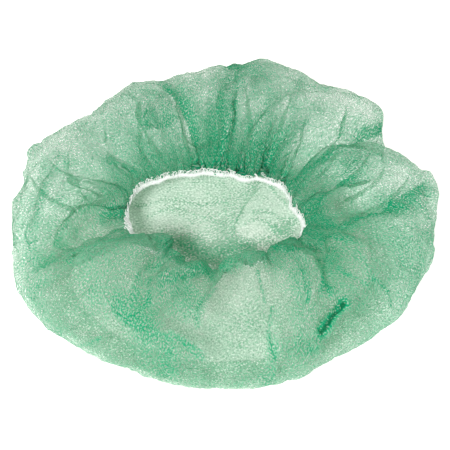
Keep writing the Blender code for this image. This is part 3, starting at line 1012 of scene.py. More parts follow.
def scatter_cells(row, draws):
    """Seeds spread over the flat cut, a tree that finds them, and a slope for each one's cell."""
    count = int(FLAT_AREA / row.cell ** 2)
    radii = FLAT_WIDTH / 2 * np.sqrt(draws.uniform(0.0, 1.0, size=count))
    turns = draws.uniform(0.0, 2.0 * math.pi, size=count)
    seeds = np.stack([radii * np.cos(turns), radii * np.sin(turns)], axis=1)
    slopes = row.slope * draws.uniform(-1.0, 1.0, size=count)
    tree = KDTree(count)
    for index, seed in enumerate(seeds):
        tree.insert((seed[0], seed[1], 0.0), index)
    tree.balance()
    return seeds, tree, slopes


def facet_heights(places, row, draws):
    """The height of each place over its cell's border, times that cell's own slope."""
    seeds, tree, slopes = scatter_cells(row, draws)
    near = np.array([[found[1] for found in tree.find_n((x, y, 0.0), 5)] for x, y in places])
    own = seeds[near[:, 0]]
    border = np.full(len(places), np.inf)
    for other in range(1, 5):
        apart = seeds[near[:, other]] - own
        length = np.linalg.norm(apart, axis=1)
        middle = own + apart / 2
        border = np.minimum(border, ((middle - places) * apart).sum(axis=1) / length)
    return border * slopes[near[:, 0]]


def warp_places(places):
    """The flat cut with slow waves, so that creases aren't ruler straight. No two waves share a length."""
    x, y = places[:, 0], places[:, 1]
    wave_x = SLOW_BEND * np.sin(70 * y + 2.0 * np.sin(37 * x)) + QUICK_BEND * np.sin(210 * y + 90 * x)
    wave_y = SLOW_BEND * np.sin(64 * x + 2.0 * np.sin(41 * y)) + QUICK_BEND * np.sin(230 * x - 80 * y)
    return np.stack([x + wave_x, y + wave_y], axis=1)


def crumple_heights(places):
    """How far each place on the flat cut rises or sinks with all its facets, in metres."""
    draws = np.random.default_rng(CREASE_SEED)
    warped = warp_places(places)
    return sum(facet_heights(warped, row, draws) for row in CRUMPLES)


def crumple_wall(points):
    """The wall with its creases, which fade where it lies on the floor."""
    heights = crumple_heights(on_flat_cut(cut_radii(points))).reshape(points.shape[:2])
    heights *= 0.25 + 0.75 * smooth_rise(0.02, 0.2, along_shares)
    return points + grid_normals(points) * heights[..., None]


crumpled_points = crumple_wall(gathered_points)
most_creased = float(np.abs(crumpled_points - gathered_points).max())
print("Creased the wall by up to", round(most_creased * 1000, 2), "mm")

# %% [markdown]
# ## The crown
#
# The crown is the flat middle of the round cut. It lies on the floor and shows through the mouth, pale
# because it is a single layer, with a few lazy creases where it doesn't quite lie flat. Its rings have fewer
# and fewer points towards the middle, so that no triangle becomes a needle.

# %% Weave the whole sheet into one mesh
CROWN_RINGS = 52
CROWN_RADIUS = 0.105
LEAST_SPACING = 0.0012
CLEAR_OF_FLOOR = 0.0005
LAZY_WAVE = 0.0016
CROWN_FACETS = 1.3
CROWN_RISES_WITHIN = 0.35
Crease = namedtuple("Crease", "from_x from_y to_x to_y height width")
CROWN_CREASES = (
    Crease(0.033, 0.080, 0.014, 0.038, 0.0045, 0.0030),
    Crease(0.014, 0.038, -0.012, 0.000, 0.0020, 0.0040),
    Crease(0.014, 0.072, 0.011, 0.040, 0.0016, 0.0024),
    Crease(-0.012, 0.000, -0.004, -0.060, 0.0022, 0.0050),
    Crease(-0.012, 0.000, -0.062, 0.020, 0.0016, 0.0050),
    Crease(0.030, 0.010, 0.068, 0.034, 0.0020, 0.0040),
    Crease(-0.030, 0.052, -0.058, -0.026, 0.0016, 0.0045),
    Crease(0.020, -0.020, 0.060, -0.052, 0.0018, 0.0050),
)


def crown_height(x, y, edge_share):
    """How far the crown stands off the floor at a place, in metres."""
    height = LAZY_WAVE * (1.0 + np.sin(38.0 * x + 1.3 + 0.9 * np.sin(31.0 * y)) * np.cos(33.0 * y - 0.4))
    for crease in CROWN_CREASES:
        run_x, run_y = crease.to_x - crease.from_x, crease.to_y - crease.from_y
        length = math.hypot(run_x, run_y)
        share = ((x - crease.from_x) * run_x + (y - crease.from_y) * run_y) / length ** 2
        share = np.clip(share, 0.0, 1.0)
        away = np.hypot(x - crease.from_x - share * run_x, y - crease.from_y - share * run_y)
        fade = np.sin(math.pi * np.clip(share, 0.02, 0.98)) ** 0.5
        height = height + crease.height * fade * np.exp(-away / crease.width)
    facets = crumple_heights(np.stack([np.atleast_1d(x), np.atleast_1d(y)], axis=1))
    return np.maximum(height + CROWN_FACETS * facets, 0.0) * smooth_rise(0.0, CROWN_RISES_WITHIN, edge_share)


def weave_sheet(points):
    """The vertices and faces of the whole cloth: the wall's grid, then the crown's rings and its middle."""
    wall = points.copy()
    wall[..., 2] = np.maximum(wall[..., 2], CLEAR_OF_FLOOR)
    vertices = [wall.reshape(-1, 3)]
    faces = ring_faces(FINE_AROUND, FINE_ALONG).tolist()
    outer = np.arange(FINE_AROUND) * FINE_ALONG
    middle = np.array([*mouth_middle.xy, CLEAR_OF_FLOOR])
    total = wall.shape[0] * wall.shape[1]
    for ring in range(1, CROWN_RINGS + 1):
        share = 1.0 - ring / (CROWN_RINGS + 1.0)
        spacing = share * CROWN_RADIUS * 2 * math.pi / len(outer)
        halve = len(outer) % 2 == 0 and spacing < LEAST_SPACING
        kept = np.arange(FINE_AROUND)[:: FINE_AROUND * (2 if halve else 1) // len(outer)]
        flat = middle + (wall[kept, 0] - middle) * share
        x, y = flat[:, 0] - mouth_middle.x, flat[:, 1] - mouth_middle.y
        flat[:, 2] = CLEAR_OF_FLOOR + crown_height(x, y, 1.0 - share)
        inner = total + np.arange(len(kept))
        vertices.append(flat)
        total += len(kept)
        for index in range(len(inner)):
            beside = (index + 1) % len(inner)
            if halve:
                a, b, c = outer[2 * index], outer[2 * index + 1], outer[(2 * index + 2) % len(outer)]
                faces += [(inner[index], b, a), (inner[index], inner[beside], b), (inner[beside], c, b)]
            else:
                faces.append((inner[index], inner[beside], outer[beside], outer[index]))
        outer = inner
    middle[2] += float(crown_height(np.array([0.0]), np.array([0.0]), np.array([1.0]))[0])
    vertices.append(middle[None])
    faces += [(total, outer[(index + 1) % len(outer)], outer[index]) for index in range(len(outer))]
    return np.concatenate(vertices), [tuple(int(corner) for corner in face) for face in faces]


sheet_points, sheet_faces = weave_sheet(crumpled_points)
cloth_mesh = bpy.data.meshes.new("nonwoven_sheet")
cloth_mesh.from_pydata(sheet_points.tolist(), [], sheet_faces)
cloth_mesh.shade_smooth()
cloth = add_object("nonwoven_sheet", cloth_mesh)
cloth_mesh.calc_loop_triangles()
cloth_area = sum(triangle.area for triangle in cloth_mesh.loop_triangles)
print("The sheet has", len(cloth_mesh.loop_triangles), "triangles and", round(cloth_area, 4), "square metres")

# %% [markdown]
# ## What the cloth remembers of its flat cut
#
# Two things about the cloth come from the round piece that it was cut as. Its bond points and fibres were
# laid down flat, so their pattern has to follow the sheet through every fold: the sheet's UV map is the flat
# cut itself, in metres. And where the elastic gathers the edge, more cloth is packed into less room, so less
# light comes through. How many layers deep the cloth is packed is kept as an attribute for the finish.
#
# The doubled places that were listed above are added to it, with painted shade and painted highlights among
# them, and so is a small step from each flat panel between creases to the next, because crushed cloth takes
# the light differently on each.

# %% Lay out the flat cut and count the layers
MOST_LAYERS = 4.5
LEAST_LAYERS = 0.45
CROWN_LAYERS = 0.5
CROWN_PANEL_SHARE = 0.5
PACKING = 0.32
PACKING_POWER = 1.7
ROOM_BLUR = (5.0, 2.0)
DEEPEST = 5.0
CRISP_EDGE = 0.0005
DOUBLING_AND_SHADING = 1.6
OUTER_RING = 360
MOST_STRETCH = 1.05
PANEL_SEED = 12
PANELS = (
    Crumple(cell=0.034, slope=0.20),
    Crumple(cell=0.016, slope=0.16),
)


def packed_layers(points, radii):
    """The flat cut's width round the cap for each grid point, over the room that it has there."""
    room = np.linalg.norm(np.roll(points, -1, axis=0) - np.roll(points, 1, axis=0), axis=2) / 2
    room = soft_grid(room, ROOM_BLUR)
    packed = np.clip(2 * math.pi * radii / FINE_AROUND / room, 1.0, MOST_LAYERS)
    return 1.0 + PACKING * (packed - 1.0) ** PACKING_POWER


def lay_flat(radii):
    """Where each vertex lies on the flat cut. The crown's part is stretched a little, to meet the wall's."""
    flat = sheet_points[:, :2] - np.array(mouth_middle.xy)
    flat[:wall_count] = on_flat_cut(radii)
    outer_ring = np.linalg.norm(flat[wall_count:wall_count + OUTER_RING], axis=1)
    flat[wall_count:] *= min(radii[:, 0].mean() / outer_ring.max(), MOST_STRETCH)
    return flat


def keep_on_sheet(mesh, flat, layers):
    """The UV map of the flat cut and the layers attribute."""
    loops = np.zeros(len(mesh.loops), int)
    mesh.loops.foreach_get("vertex_index", loops)
    mesh.uv_layers.new(name="flat_cut").data.foreach_set("uv", flat[loops].reshape(-1))
    mesh.attributes.new("layers", "FLOAT", "POINT").data.foreach_set("value", layers)


def panel_tones(places):
    """How many layers more or less than its neighbours each flat panel between creases shows."""
    draws = np.random.default_rng(PANEL_SEED)
    warped = warp_places(places)
    tones = np.zeros(len(places))
    for row in PANELS:
        _, tree, own = scatter_cells(row, draws)
        tones += own[[tree.find((x, y, 0.0))[1] for x, y in warped]]
    return tones


def paint_layers_and_shade(values, points, normals, seen, rows):
    """The layers with the listed places added: where more cloth lies folded behind what is seen, and where
    painted shade and painted highlights are set down as more or fewer layers.
    """
    doubled = values.copy()
    for row in rows:
        width = row.width * MM
        line = path_on_cloth(row.path, points, seen)
        chosen, _, aside, _ = measure_path(points, normals, line, 2.5 * width)
        side = smooth_rise(-CRISP_EDGE, CRISP_EDGE, row.crisp * aside) if row.crisp else 1.0
        doubled[chosen] += DOUBLING_AND_SHADING * row.layers * np.exp(-(aside / width) ** 2) * side
    return np.maximum(doubled, LEAST_LAYERS)


wall_count = FINE_AROUND * FINE_ALONG
radii = cut_radii(gathered_points)
flat_cut = lay_flat(radii)
cloth_layers = np.full(len(sheet_points), CROWN_LAYERS)
cloth_layers[:wall_count] = packed_layers(gathered_points, radii).reshape(-1)
panel_share = np.where(np.arange(len(sheet_points)) < wall_count, 1.0, CROWN_PANEL_SHARE)
cloth_layers += panel_tones(flat_cut) * panel_share
to_camera = unit(np.array(camera.location) - crumpled_points)
seen = ((soft_normals(crumpled_points) * to_camera).sum(axis=-1) > 0.0).reshape(-1)
wall = (sheet_points[:wall_count], fine_normals.reshape(-1, 3), seen)
folded = paint_layers_and_shade(cloth_layers[:wall_count], *wall, DOUBLED_SHADE_AND_HIGHLIGHTS)
cloth_layers[:wall_count] = paint_layers_and_shade(np.minimum(folded, DEEPEST), *wall, SLIT_SHADE)
upright = np.tile((0.0, 0.0, 1.0), (len(sheet_points) - wall_count, 1))
crown = (sheet_points[wall_count:], upright, upright[:, 2] > 0)
cloth_layers[wall_count:] = paint_layers_and_shade(cloth_layers[wall_count:], *crown, CROWN_LIGHT_AND_SHADE)
keep_on_sheet(cloth_mesh, flat_cut, cloth_layers)
by_grid = cloth_layers[:wall_count].reshape(FINE_AROUND, FINE_ALONG)
belly_column = round(belly_share * (FINE_ALONG - 1))
print("At the belly the cloth is", round(float(by_grid[:, belly_column].mean()), 2), "layers deep")
print("At the elastic it is", round(float(by_grid[:, -1].mean()), 2), "layers deep")

# %% [markdown]
# ## The nonwoven's finish
#
# Spunbond nonwoven is a felt of endless fibres, spun onto a belt and pressed between hot rollers whose
# points weld it in rows of small diamonds. Three things are seen of it. The fibres lie unevenly, so the cloth
# is cloudy when light comes through it. The welded points are clearer and glossier than what lies between
# them. And all of it is thin enough to let about half of the light through, to whatever is behind.

# %% Make the shared effects
BOND_SLANT = math.radians(45.0)
BOND_OUTSIDE = 0.36
BOND_INSIDE = 0.22


def new_group(name, inputs, outputs):
    """A shader node group with its inputs and outputs, and its two end nodes."""
    group = bpy.data.node_groups.new(name, "ShaderNodeTree")
    for label, value in inputs.items():
        kind = "NodeSocketVector" if value is None else "NodeSocketFloat"
        socket = group.interface.new_socket(label, in_out="INPUT", socket_type=kind)
        if value is not None:
            socket.default_value = value
    for label in outputs:
        group.interface.new_socket(label, in_out="OUTPUT", socket_type="NodeSocketFloat")
    return group, put(group, "NodeGroupInput").outputs, put(group, "NodeGroupOutput").inputs


def make_fibre_cloud():
    """How thick the fibres lie at a place, from 0 to 1: slow clouds, with quick stipple over them."""
    group, start, end = new_group(
        "fibre_cloud",
        {"Place": None, "Clouds per metre": 48.0, "Stipple per metre": 690.0, "Cloud share": 1.8,
         "Stipple share": 2.4},
        ["Clouds", "Stipple"],
    )
    clouds = noise(group, start["Place"], start["Clouds per metre"], Detail=4.0, Roughness=0.62)
    stipple = noise(group, start["Place"], start["Stipple per metre"], Detail=0.0)
    slow = maths(group, "SUBTRACT", clouds.outputs["Fac"], 0.5)
    slow = maths(group, "MULTIPLY", slow, start["Cloud share"])
    quick = maths(group, "SUBTRACT", stipple.outputs["Fac"], 0.5)
    feed(group, maths(group, "ADD", slow, 1.0), end["Clouds"])
    feed(group, maths(group, "MULTIPLY", quick, start["Stipple share"]), end["Stipple"])
    return group


def make_bond_points():
    """A mask that is 1 on the welded points, which stand in diagonal rows."""
    group, start, end = new_group("bond_points", {"Place": None, "Points per metre": 430.0}, ["Mask"])
    inputs = {"Vector": start["Place"], "Rotation": (0.0, 0.0, BOND_SLANT)}
    turned = put(group, "ShaderNodeMapping", inputs).outputs["Vector"]
    inputs = {"Vector": turned, "Scale": start["Points per metre"], "Randomness": 0.0}
    cells = put(group, "ShaderNodeTexVoronoi", inputs, voronoi_dimensions="2D")
    feed(group, ramp(group, cells.outputs["Distance"], BOND_OUTSIDE, BOND_INSIDE), end["Mask"])
    return group


def make_crease_lines():
    """Fine straight creases between flat facets: above 0 where the cloth is creased up, below where down."""
    group, start, end = new_group(
        "crease_lines", {"Place": None, "Facets per metre": 30.0, "Line width": 0.03}, ["Crease"],
    )
    bend = noise(group, start["Place"], 22.0, Detail=1.0).outputs["Color"]
    lean = vector_maths(group, "MULTIPLY_ADD", bend, (0.03, 0.03, 0.0), start["Place"])
    cells = {"Vector": lean, "Scale": start["Facets per metre"]}
    border = put(group, "ShaderNodeTexVoronoi", cells, voronoi_dimensions="2D", feature="DISTANCE_TO_EDGE")
    cell = put(group, "ShaderNodeTexVoronoi", cells, voronoi_dimensions="2D")
    line = ramp(group, border.outputs["Distance"], 0.0, start["Line width"], start=1.0, end=0.0)
    parts = put(group, "ShaderNodeSeparateColor", {"Color": cell.outputs["Color"]})
    swing = maths(group, "MULTIPLY", maths(group, "SUBTRACT", parts.outputs["Red"], 0.5), 2.0)
    stretch = noise(group, start["Place"], start["Facets per metre"], Detail=1.0)
    breaks = ramp(group, stretch.outputs["Fac"], 0.44, 0.56)
    broken = maths(group, "MULTIPLY", line, breaks)
    feed(group, maths(group, "MULTIPLY", broken, swing), end["Crease"])
    return group


def make_long_crease():
    """A crease on the flat cut between two places: 1 on it, fading to 0 at its width and towards its ends."""
    group, start, end = new_group(
        "long_crease", {"Place": None, "From": None, "To": None, "Width": 0.001}, ["Ridge"],
    )
    run = vector_maths(group, "SUBTRACT", start["To"], start["From"])
    away = vector_maths(group, "SUBTRACT", start["Place"], start["From"])
    along = vector_maths(group, "DOT_PRODUCT", away, run, output="Value")
    whole = vector_maths(group, "DOT_PRODUCT", run, run, output="Value")
    share = maths(group, "DIVIDE", along, whole, clamp=True)
    foot = vector_maths(group, "MULTIPLY_ADD", run, share, start["From"])
    apart = vector_maths(group, "DISTANCE", start["Place"], foot, output="Value")
    near = maths(group, "SUBTRACT", 1.0, maths(group, "DIVIDE", apart, start["Width"]), clamp=True)
    ends = maths(group, "MULTIPLY", share, maths(group, "SUBTRACT", 1.0, share))
    ends = maths(group, "MULTIPLY", ends, 8.0, clamp=True)
    feed(group, maths(group, "MULTIPLY", near, ends), end["Ridge"])
    return group


shared_effects = [make_fibre_cloud(), make_bond_points(), make_crease_lines(), make_long_crease()]
fibre_cloud, bond_points, crease_lines, long_crease = shared_effects
print("Shared effects:", ", ".join(group.name for group in shared_effects))

# %% Make the nonwoven
PALE_GREEN = (0.490, 0.700, 0.560)
DEEP_GREEN = (0.002, 0.335, 0.170)
THIN_GREEN = (0.700, 0.860, 0.760)
THICK_GREEN = (0.010, 0.270, 0.130)
# The pit colours are painted shade, for the dark of the slit's hollow.
PIT_SHADE_GREEN = (0.006, 0.150, 0.070)
PIT_SHADE_THROUGH = (0.006, 0.220, 0.100)
PALE_THROUGH = (0.490, 0.790, 0.590)
DEEP_THROUGH = (0.004, 0.520, 0.262)
CLEAREST = 0.46
THROUGH_SHARE = 0.55
DEEPENING = 0.58
GRAIN_IN_COLOUR = 1.5
GRAIN_IN_GAPS = 1.7
PIT_SHADE_LAYERS = (5.5, 8.5)
LEAST_WELDS_AND_CREASE_LIGHT = 0.62
LEAST_GAPS = 0.2
DOTS_THIN = 0.22
CREASE_LIGHT_AND_SHADE = 1.6
RIDGE_SHADE_DEPTH = 0.9
GRAIN_LOST = 0.92
THIN_SHOWS = 2.6
THICK_SHOWS = 4.4
RELIEF = (0.0008, 0.8)
CREASE_LINES = ((32.0, 0.035), (85.0, 0.070))
LongCrease = namedtuple("LongCrease", "start end width")
LONG_CREASES = (
    LongCrease((0.0330, 0.0800), (0.0195, 0.0560), 0.0012),
    LongCrease((0.0200, 0.0570), (0.0130, 0.0370), 0.0012),
)


def make_nonwoven():
    """Green spunbond, which is deeper and less clear the more layers of it are packed together."""
    material, tree, surface = new_finish("nonwoven_green", Roughness=0.7, Specular_IOR_Level=0.15)
    place = put(tree, "ShaderNodeUVMap", uv_map="flat_cut").outputs["UV"]
    packed = put(tree, "ShaderNodeAttribute", attribute_name="layers").outputs["Fac"]

    def effect(group, **values):
        return put(tree, "ShaderNodeGroup", {"Place": place, **values}, node_tree=group).outputs

    def times(first, second, clamp=False):
        return maths(tree, "MULTIPLY", first, second, clamp=clamp)

    def plus(first, second):
        return maths(tree, "ADD", first, second)

    def less(first, second, clamp=False):
        return maths(tree, "SUBTRACT", first, second, clamp=clamp)

    # how much fibre lies at a place
    clouds, stipple = effect(fibre_cloud)
    dots = effect(bond_points)["Mask"]
    wide, fine = [
        effect(crease_lines, **{"Facets per metre": facets, "Line width": width})["Crease"]
        for facets, width in CREASE_LINES
    ]
    on_wall = times(less(packed, CROWN_LAYERS), 5.0, clamp=True)
    creases = times(plus(wide, fine), on_wall)
    # creases that rise are painted paler and creases that sink darker, as painted highlight and painted
    # shade; the welded points are paler too
    welds_and_crease_light = less(less(1.0, times(dots, DOTS_THIN)), times(creases, CREASE_LIGHT_AND_SHADE))
    welds_and_crease_light = maths(tree, "MAXIMUM", welds_and_crease_light, LEAST_WELDS_AND_CREASE_LIGHT)
    # along the crown's long creases the cloth is painted darker: painted shade in the crease
    for crease in LONG_CREASES:
        ends = {"From": (*crease.start, 0), "To": (*crease.end, 0), "Width": crease.width}
        ridge = effect(long_crease, **ends)["Ridge"]
        creases = plus(creases, ridge)
        welds_and_crease_light = plus(welds_and_crease_light, times(ridge, RIDGE_SHADE_DEPTH))
    weight = times(packed, times(clouds, welds_and_crease_light))

    # the colour, deeper where there is more of it
    grain = plus(times(stipple, GRAIN_IN_COLOUR), 1.0)
    fibres = maths(tree, "MAXIMUM", times(weight, grain), 0.0)
    depth = less(1.0, maths(tree, "EXPONENT", times(fibres, -DEEPENING)), clamp=True)
    still_pale = less(1.0, times(depth, GRAIN_LOST))
    # past the layers of every doubled place, which only the slit reaches, the colour is painted shade
    pit_shade = ramp(tree, packed, *PIT_SHADE_LAYERS)
    colour = blend_colours(tree, depth, PALE_GREEN, DEEP_GREEN)
    colour = blend_colours(tree, pit_shade, colour, PIT_SHADE_GREEN)
    for shows, tint in ((-THIN_SHOWS, THIN_GREEN), (THICK_SHOWS, THICK_GREEN)):
        share = times(times(stipple, shows, clamp=True), still_pale)
        colour = blend_colours(tree, share, colour, tint)
    height = plus(less(stipple, times(dots, 0.4)), times(creases, 0.8))
    normal = colour_and_relief(tree, surface, colour, height, *RELIEF)

    # light from behind, and what shows between the fibres
    inner_colour = blend_colours(tree, depth, PALE_THROUGH, DEEP_THROUGH)
    inner_colour = blend_colours(tree, pit_shade, inner_colour, PIT_SHADE_THROUGH)
    through = put(tree, "ShaderNodeBsdfTranslucent", {"Color": inner_colour, "Normal": normal})
    shares = {0: THROUGH_SHARE, 1: surface.outputs["BSDF"], 2: through.outputs["BSDF"]}
    body = put(tree, "ShaderNodeMixShader", shares)
    gaps = plus(times(times(stipple, GRAIN_IN_GAPS), still_pale), 1.0)
    gaps = maths(tree, "MAXIMUM", gaps, LEAST_GAPS)
    clear = maths(tree, "POWER", CLEAREST, times(weight, gaps))
    window = put(tree, "ShaderNodeBsdfTransparent").outputs["BSDF"]
    whole = put(tree, "ShaderNodeMixShader", {0: clear, 1: body.outputs["Shader"], 2: window})
    feed(tree, whole.outputs["Shader"], tree.nodes["Material Output"].inputs["Surface"])
    return material


cloth_mesh.materials.append(make_nonwoven())
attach(cloth, "root")
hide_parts("cap_body")
print("The cloth wears its finish")

# %% [markdown]
# ## The elastic
#
# The elastic is a soft white ribbon, three millimetres wide and about one thick. It was sewn on with an
# overlock stitch while it was stretched. Once it is let go the stitches crowd together: threads wrap round
# the ribbon close to each other, and the loops that used to lie flat on the cloth stand out as a fine lace
# edge. The ribbon is a rounded strip, swept round the drawn edge of the cloth. Threads and loops repeat
# hundreds of times along it, so Geometry Nodes put them there.

# %% Sweep the ribbon round the mouth
RIBBON_WIDTH = 0.0030
RIBBON_THICKNESS = 0.0011
RIBBON_PAST_EDGE = 0.0012
RIBBON_WOBBLE = 0.0007
RIBBON_SIDES = 16
RIBBON_SQUARENESS = 0.55
WOBBLE_SEED = 29
WOBBLE_BLUR = 9.0
TOP_REACH = 0.006
TOP_BLUR = 5.0
BEHIND_EDGE = 0.0008
EDGE_BLUR = 6.0
ONWARD_BLUR = 8.0


def edge_ways(points):
    """The drawn edge as a smooth line, with the ways along it, on towards the mouth and out of the cloth."""
    edge = soft_round(points[:, -1], EDGE_BLUR)
    onward = unit(soft_round(edge - soft_round(points[:, -6], EDGE_BLUR), ONWARD_BLUR))
    forward = unit(np.roll(edge, -1, axis=0) - np.roll(edge, 1, axis=0))
    outward = unit(np.cross(forward, onward))
    return edge, forward, onward, outward


def top_of_cloth(places, outwards):
    """How far the cloth's upper side stands out from each place."""
    tree = BVHTree.FromPolygons(sheet_points.tolist(), sheet_faces)
    heights = []
    for place, outward in zip(places, outwards):
        start = Vector(place + outward * TOP_REACH)
        hit = tree.ray_cast(start, -Vector(outward), 2 * TOP_REACH)
        heights.append(0.0 if hit[0] is None else TOP_REACH - hit[3])
    return np.array(heights)


edge, edge_forward, edge_onward, edge_outward = edge_ways(fine_points)
wobble = soft_round(np.random.default_rng(WOBBLE_SEED).normal(size=(FINE_AROUND, 2)), WOBBLE_BLUR)
wobble *= RIBBON_WOBBLE / wobble.std()
cloth_top = soft_round(top_of_cloth(edge - BEHIND_EDGE * edge_onward, edge_outward), TOP_BLUR)[:, None]
ribbon_middle = edge + edge_onward * (RIBBON_PAST_EDGE + wobble[:, :1])
ribbon_middle = ribbon_middle + edge_outward * (cloth_top + 0.5 * wobble[:, 1:])


def sweep_ribbon():
    """The ribbon's mesh, with a UV map in metres along it and round it."""
    turns = np.arange(RIBBON_SIDES) * 2.0 * math.pi / RIBBON_SIDES
    wide = np.sign(np.cos(turns)) * np.abs(np.cos(turns)) ** RIBBON_SQUARENESS * RIBBON_WIDTH / 2
    thick = np.sign(np.sin(turns)) * np.abs(np.sin(turns)) ** RIBBON_SQUARENESS * RIBBON_THICKNESS / 2
    rings = ribbon_middle[:, None] + edge_onward[:, None] * wide[None, :, None]
    rings = rings + edge_outward[:, None] * thick[None, :, None]
    around, side = np.meshgrid(np.arange(FINE_AROUND), np.arange(RIBBON_SIDES), indexing="ij")
    beside, after = (around + 1) % FINE_AROUND, (side + 1) % RIBBON_SIDES
    corners = [(around, side), (around, after), (beside, after), (beside, side)]
    faces = np.stack([first * RIBBON_SIDES + second for first, second in corners], axis=-1).reshape(-1, 4)
    mesh = bpy.data.meshes.new("elastic_ribbon")
    mesh.from_pydata(rings.reshape(-1, 3).tolist(), [], faces.tolist())
    mesh.shade_smooth()
    gone = running_sum(step_lengths(np.concatenate([ribbon_middle, ribbon_middle[:1]])))
    u = np.stack([gone[around], gone[around], gone[around + 1], gone[around + 1]], axis=-1).reshape(-1)
    v = np.stack([side, side + 1, side + 1, side], axis=-1).reshape(-1) * 2 * RIBBON_WIDTH / RIBBON_SIDES
    mesh.uv_layers.new(name="ribbon").data.foreach_set("uv", np.stack([u, v], axis=1).reshape(-1))
    return add_object("elastic_ribbon", mesh), float(gone[-1])


ribbon, ribbon_length = sweep_ribbon()
check = bmesh.new()
check.from_mesh(ribbon.data)
ribbon_volume = check.calc_volume(signed=True)
check.free()
print("The ribbon is", round(ribbon_length, 3), "m round and holds", round(ribbon_volume * 1e9), "cubic mm")

# %% Build the tree that sets stitches
LOOP_CORNERS = 12
THREAD_SIDES = 5
STITCH_INPUTS = {
    "Geometry": "NodeSocketGeometry", "Loop length": "NodeSocketFloat", "Loop width": "NodeSocketFloat",
    "Thread radius": "NodeSocketFloat", "Spread": "NodeSocketFloat", "Seed": "NodeSocketInt",
    "Thread": "NodeSocketMaterial",
}


def make_stitch_tree():
    """Closed loops of thread on every point, lying in the plane of the point's two named directions."""
    tree = bpy.data.node_groups.new("thread_loops", "GeometryNodeTree")
    for label, kind in STITCH_INPUTS.items():
        tree.interface.new_socket(label, in_out="INPUT", socket_type=kind)
    tree.interface.new_socket("Geometry", in_out="OUTPUT", socket_type="NodeSocketGeometry")
    start = put(tree, "NodeGroupInput").outputs

    def circle(corners, radius):
        inputs = {"Resolution": corners, "Radius": radius}
        return put(tree, "GeometryNodeCurvePrimitiveCircle", inputs).outputs["Curve"]

    def named_way(name):
        node = put(tree, "GeometryNodeInputNamedAttribute", {"Name": name}, data_type="FLOAT_VECTOR")
        return node.outputs["Attribute"]

    def pass_on(kind, geometry, **inputs):
        return put(tree, kind, {"Geometry": geometry, **inputs}).outputs["Geometry"]

    inputs = {"X": start["Loop length"], "Y": start["Loop width"], "Z": 1.0}
    size = put(tree, "ShaderNodeCombineXYZ", inputs).outputs["Vector"]
    loop = pass_on("GeometryNodeTransform", circle(LOOP_CORNERS, 0.5), Scale=size)
    inputs = {"Curve": loop, "Profile Curve": circle(THREAD_SIDES, start["Thread radius"])}
    tube = put(tree, "GeometryNodeCurveToMesh", inputs).outputs["Mesh"]
    ways = {0: named_way("long_way"), 1: named_way("wide_way")}
    turn = put(tree, "FunctionNodeAxesToRotation", ways, primary_axis="X", secondary_axis="Y").outputs[0]
    least = maths(tree, "SUBTRACT", 1.0, start["Spread"])
    most = maths(tree, "ADD", 1.0, start["Spread"])
    chance = put(tree, "FunctionNodeRandomValue", {"Seed": start["Seed"]}, data_type="FLOAT")
    for value, socket in zip((least, most), enabled(chance.inputs)):
        feed(tree, value, socket)
    scale = enabled(chance.outputs)[0]
    inputs = {"Points": start["Geometry"], "Instance": tube, "Rotation": turn, "Scale": scale}
    sown = put(tree, "GeometryNodeInstanceOnPoints", inputs).outputs["Instances"]
    real = pass_on("GeometryNodeRealizeInstances", sown)
    smooth = pass_on("GeometryNodeSetShadeSmooth", real)
    dressed = pass_on("GeometryNodeSetMaterial", smooth, Material=start["Thread"])
    put(tree, "NodeGroupOutput", {"Geometry": dressed})
    return tree


def set_stitches(tree, name, places, long_ways, wide_ways, **values):
    """A plain mesh with one loop of thread at each place."""
    points = bpy.data.meshes.new(name + "_points")
    points.from_pydata(places.tolist(), [], [])
    for label, ways in (("long_way", long_ways), ("wide_way", wide_ways)):
        points.attributes.new(label, "FLOAT_VECTOR", "POINT").data.foreach_set("vector", ways.reshape(-1))
    bearer = add_object(name + "_points", points)
    modifier = bearer.modifiers.new("stitches", "NODES")
    modifier.node_group = tree
    named = {item.name: item.identifier for item in tree.interface.items_tree if item.in_out == "INPUT"}
    for label, value in values.items():
        modifier[named[label.replace("_", " ")]] = value
    bpy.context.view_layer.update()
    evaluated = bearer.evaluated_get(bpy.context.evaluated_depsgraph_get())
    mesh = bpy.data.meshes.new_from_object(evaluated)
    mesh.name = name
    bpy.data.objects.remove(bearer)
    return add_object(name, mesh)


stitch_tree = make_stitch_tree()
print("The stitch tree has", len(stitch_tree.nodes), "nodes")

# %% Make the elastic's finishes
KNIT_SHADE = (0.70, 0.74, 0.71)
KNIT_WHITE = (0.88, 0.89, 0.88)
THREAD_SHADE = (0.78, 0.82, 0.79)
THREAD_WHITE = (0.92, 0.93, 0.92)
RIBS_PER_METRE = 900.0
STITCHES_PER_METRE = 1170.0
TWISTS_PER_METRE = 2500.0
KNIT_RELIEF = 0.00015
THREAD_RELIEF = 0.00006


def make_knit():
    """White knitted elastic, with fine ribs along it and shallower stitches across."""
    material, tree, surface = new_finish("elastic_white", Roughness=0.75, Sheen_Weight=0.2)
    place = put(tree, "ShaderNodeUVMap", uv_map="ribbon").outputs["UV"]
    apart = put(tree, "ShaderNodeSeparateXYZ", {"Vector": place}).outputs
    rib = maths(tree, "SINE", maths(tree, "MULTIPLY", apart["Y"], RIBS_PER_METRE * 2 * math.pi))
    slant = maths(tree, "ADD", apart["X"], maths(tree, "MULTIPLY", apart["Y"], 0.5))
    cross = maths(tree, "SINE", maths(tree, "MULTIPLY", slant, STITCHES_PER_METRE * 2 * math.pi))
    height = maths(tree, "ADD", rib, maths(tree, "MULTIPLY", cross, 0.7))
    # the ribs' hollows are painted greyer and their tops whiter: painted shade and painted highlight on the
    # knit
    shade = maths(tree, "ADD", maths(tree, "MULTIPLY", height, 0.25), 0.5, clamp=True)
    colour = blend_colours(tree, shade, KNIT_SHADE, KNIT_WHITE)
    colour_and_relief(tree, surface, colour, height, KNIT_RELIEF)
    return material


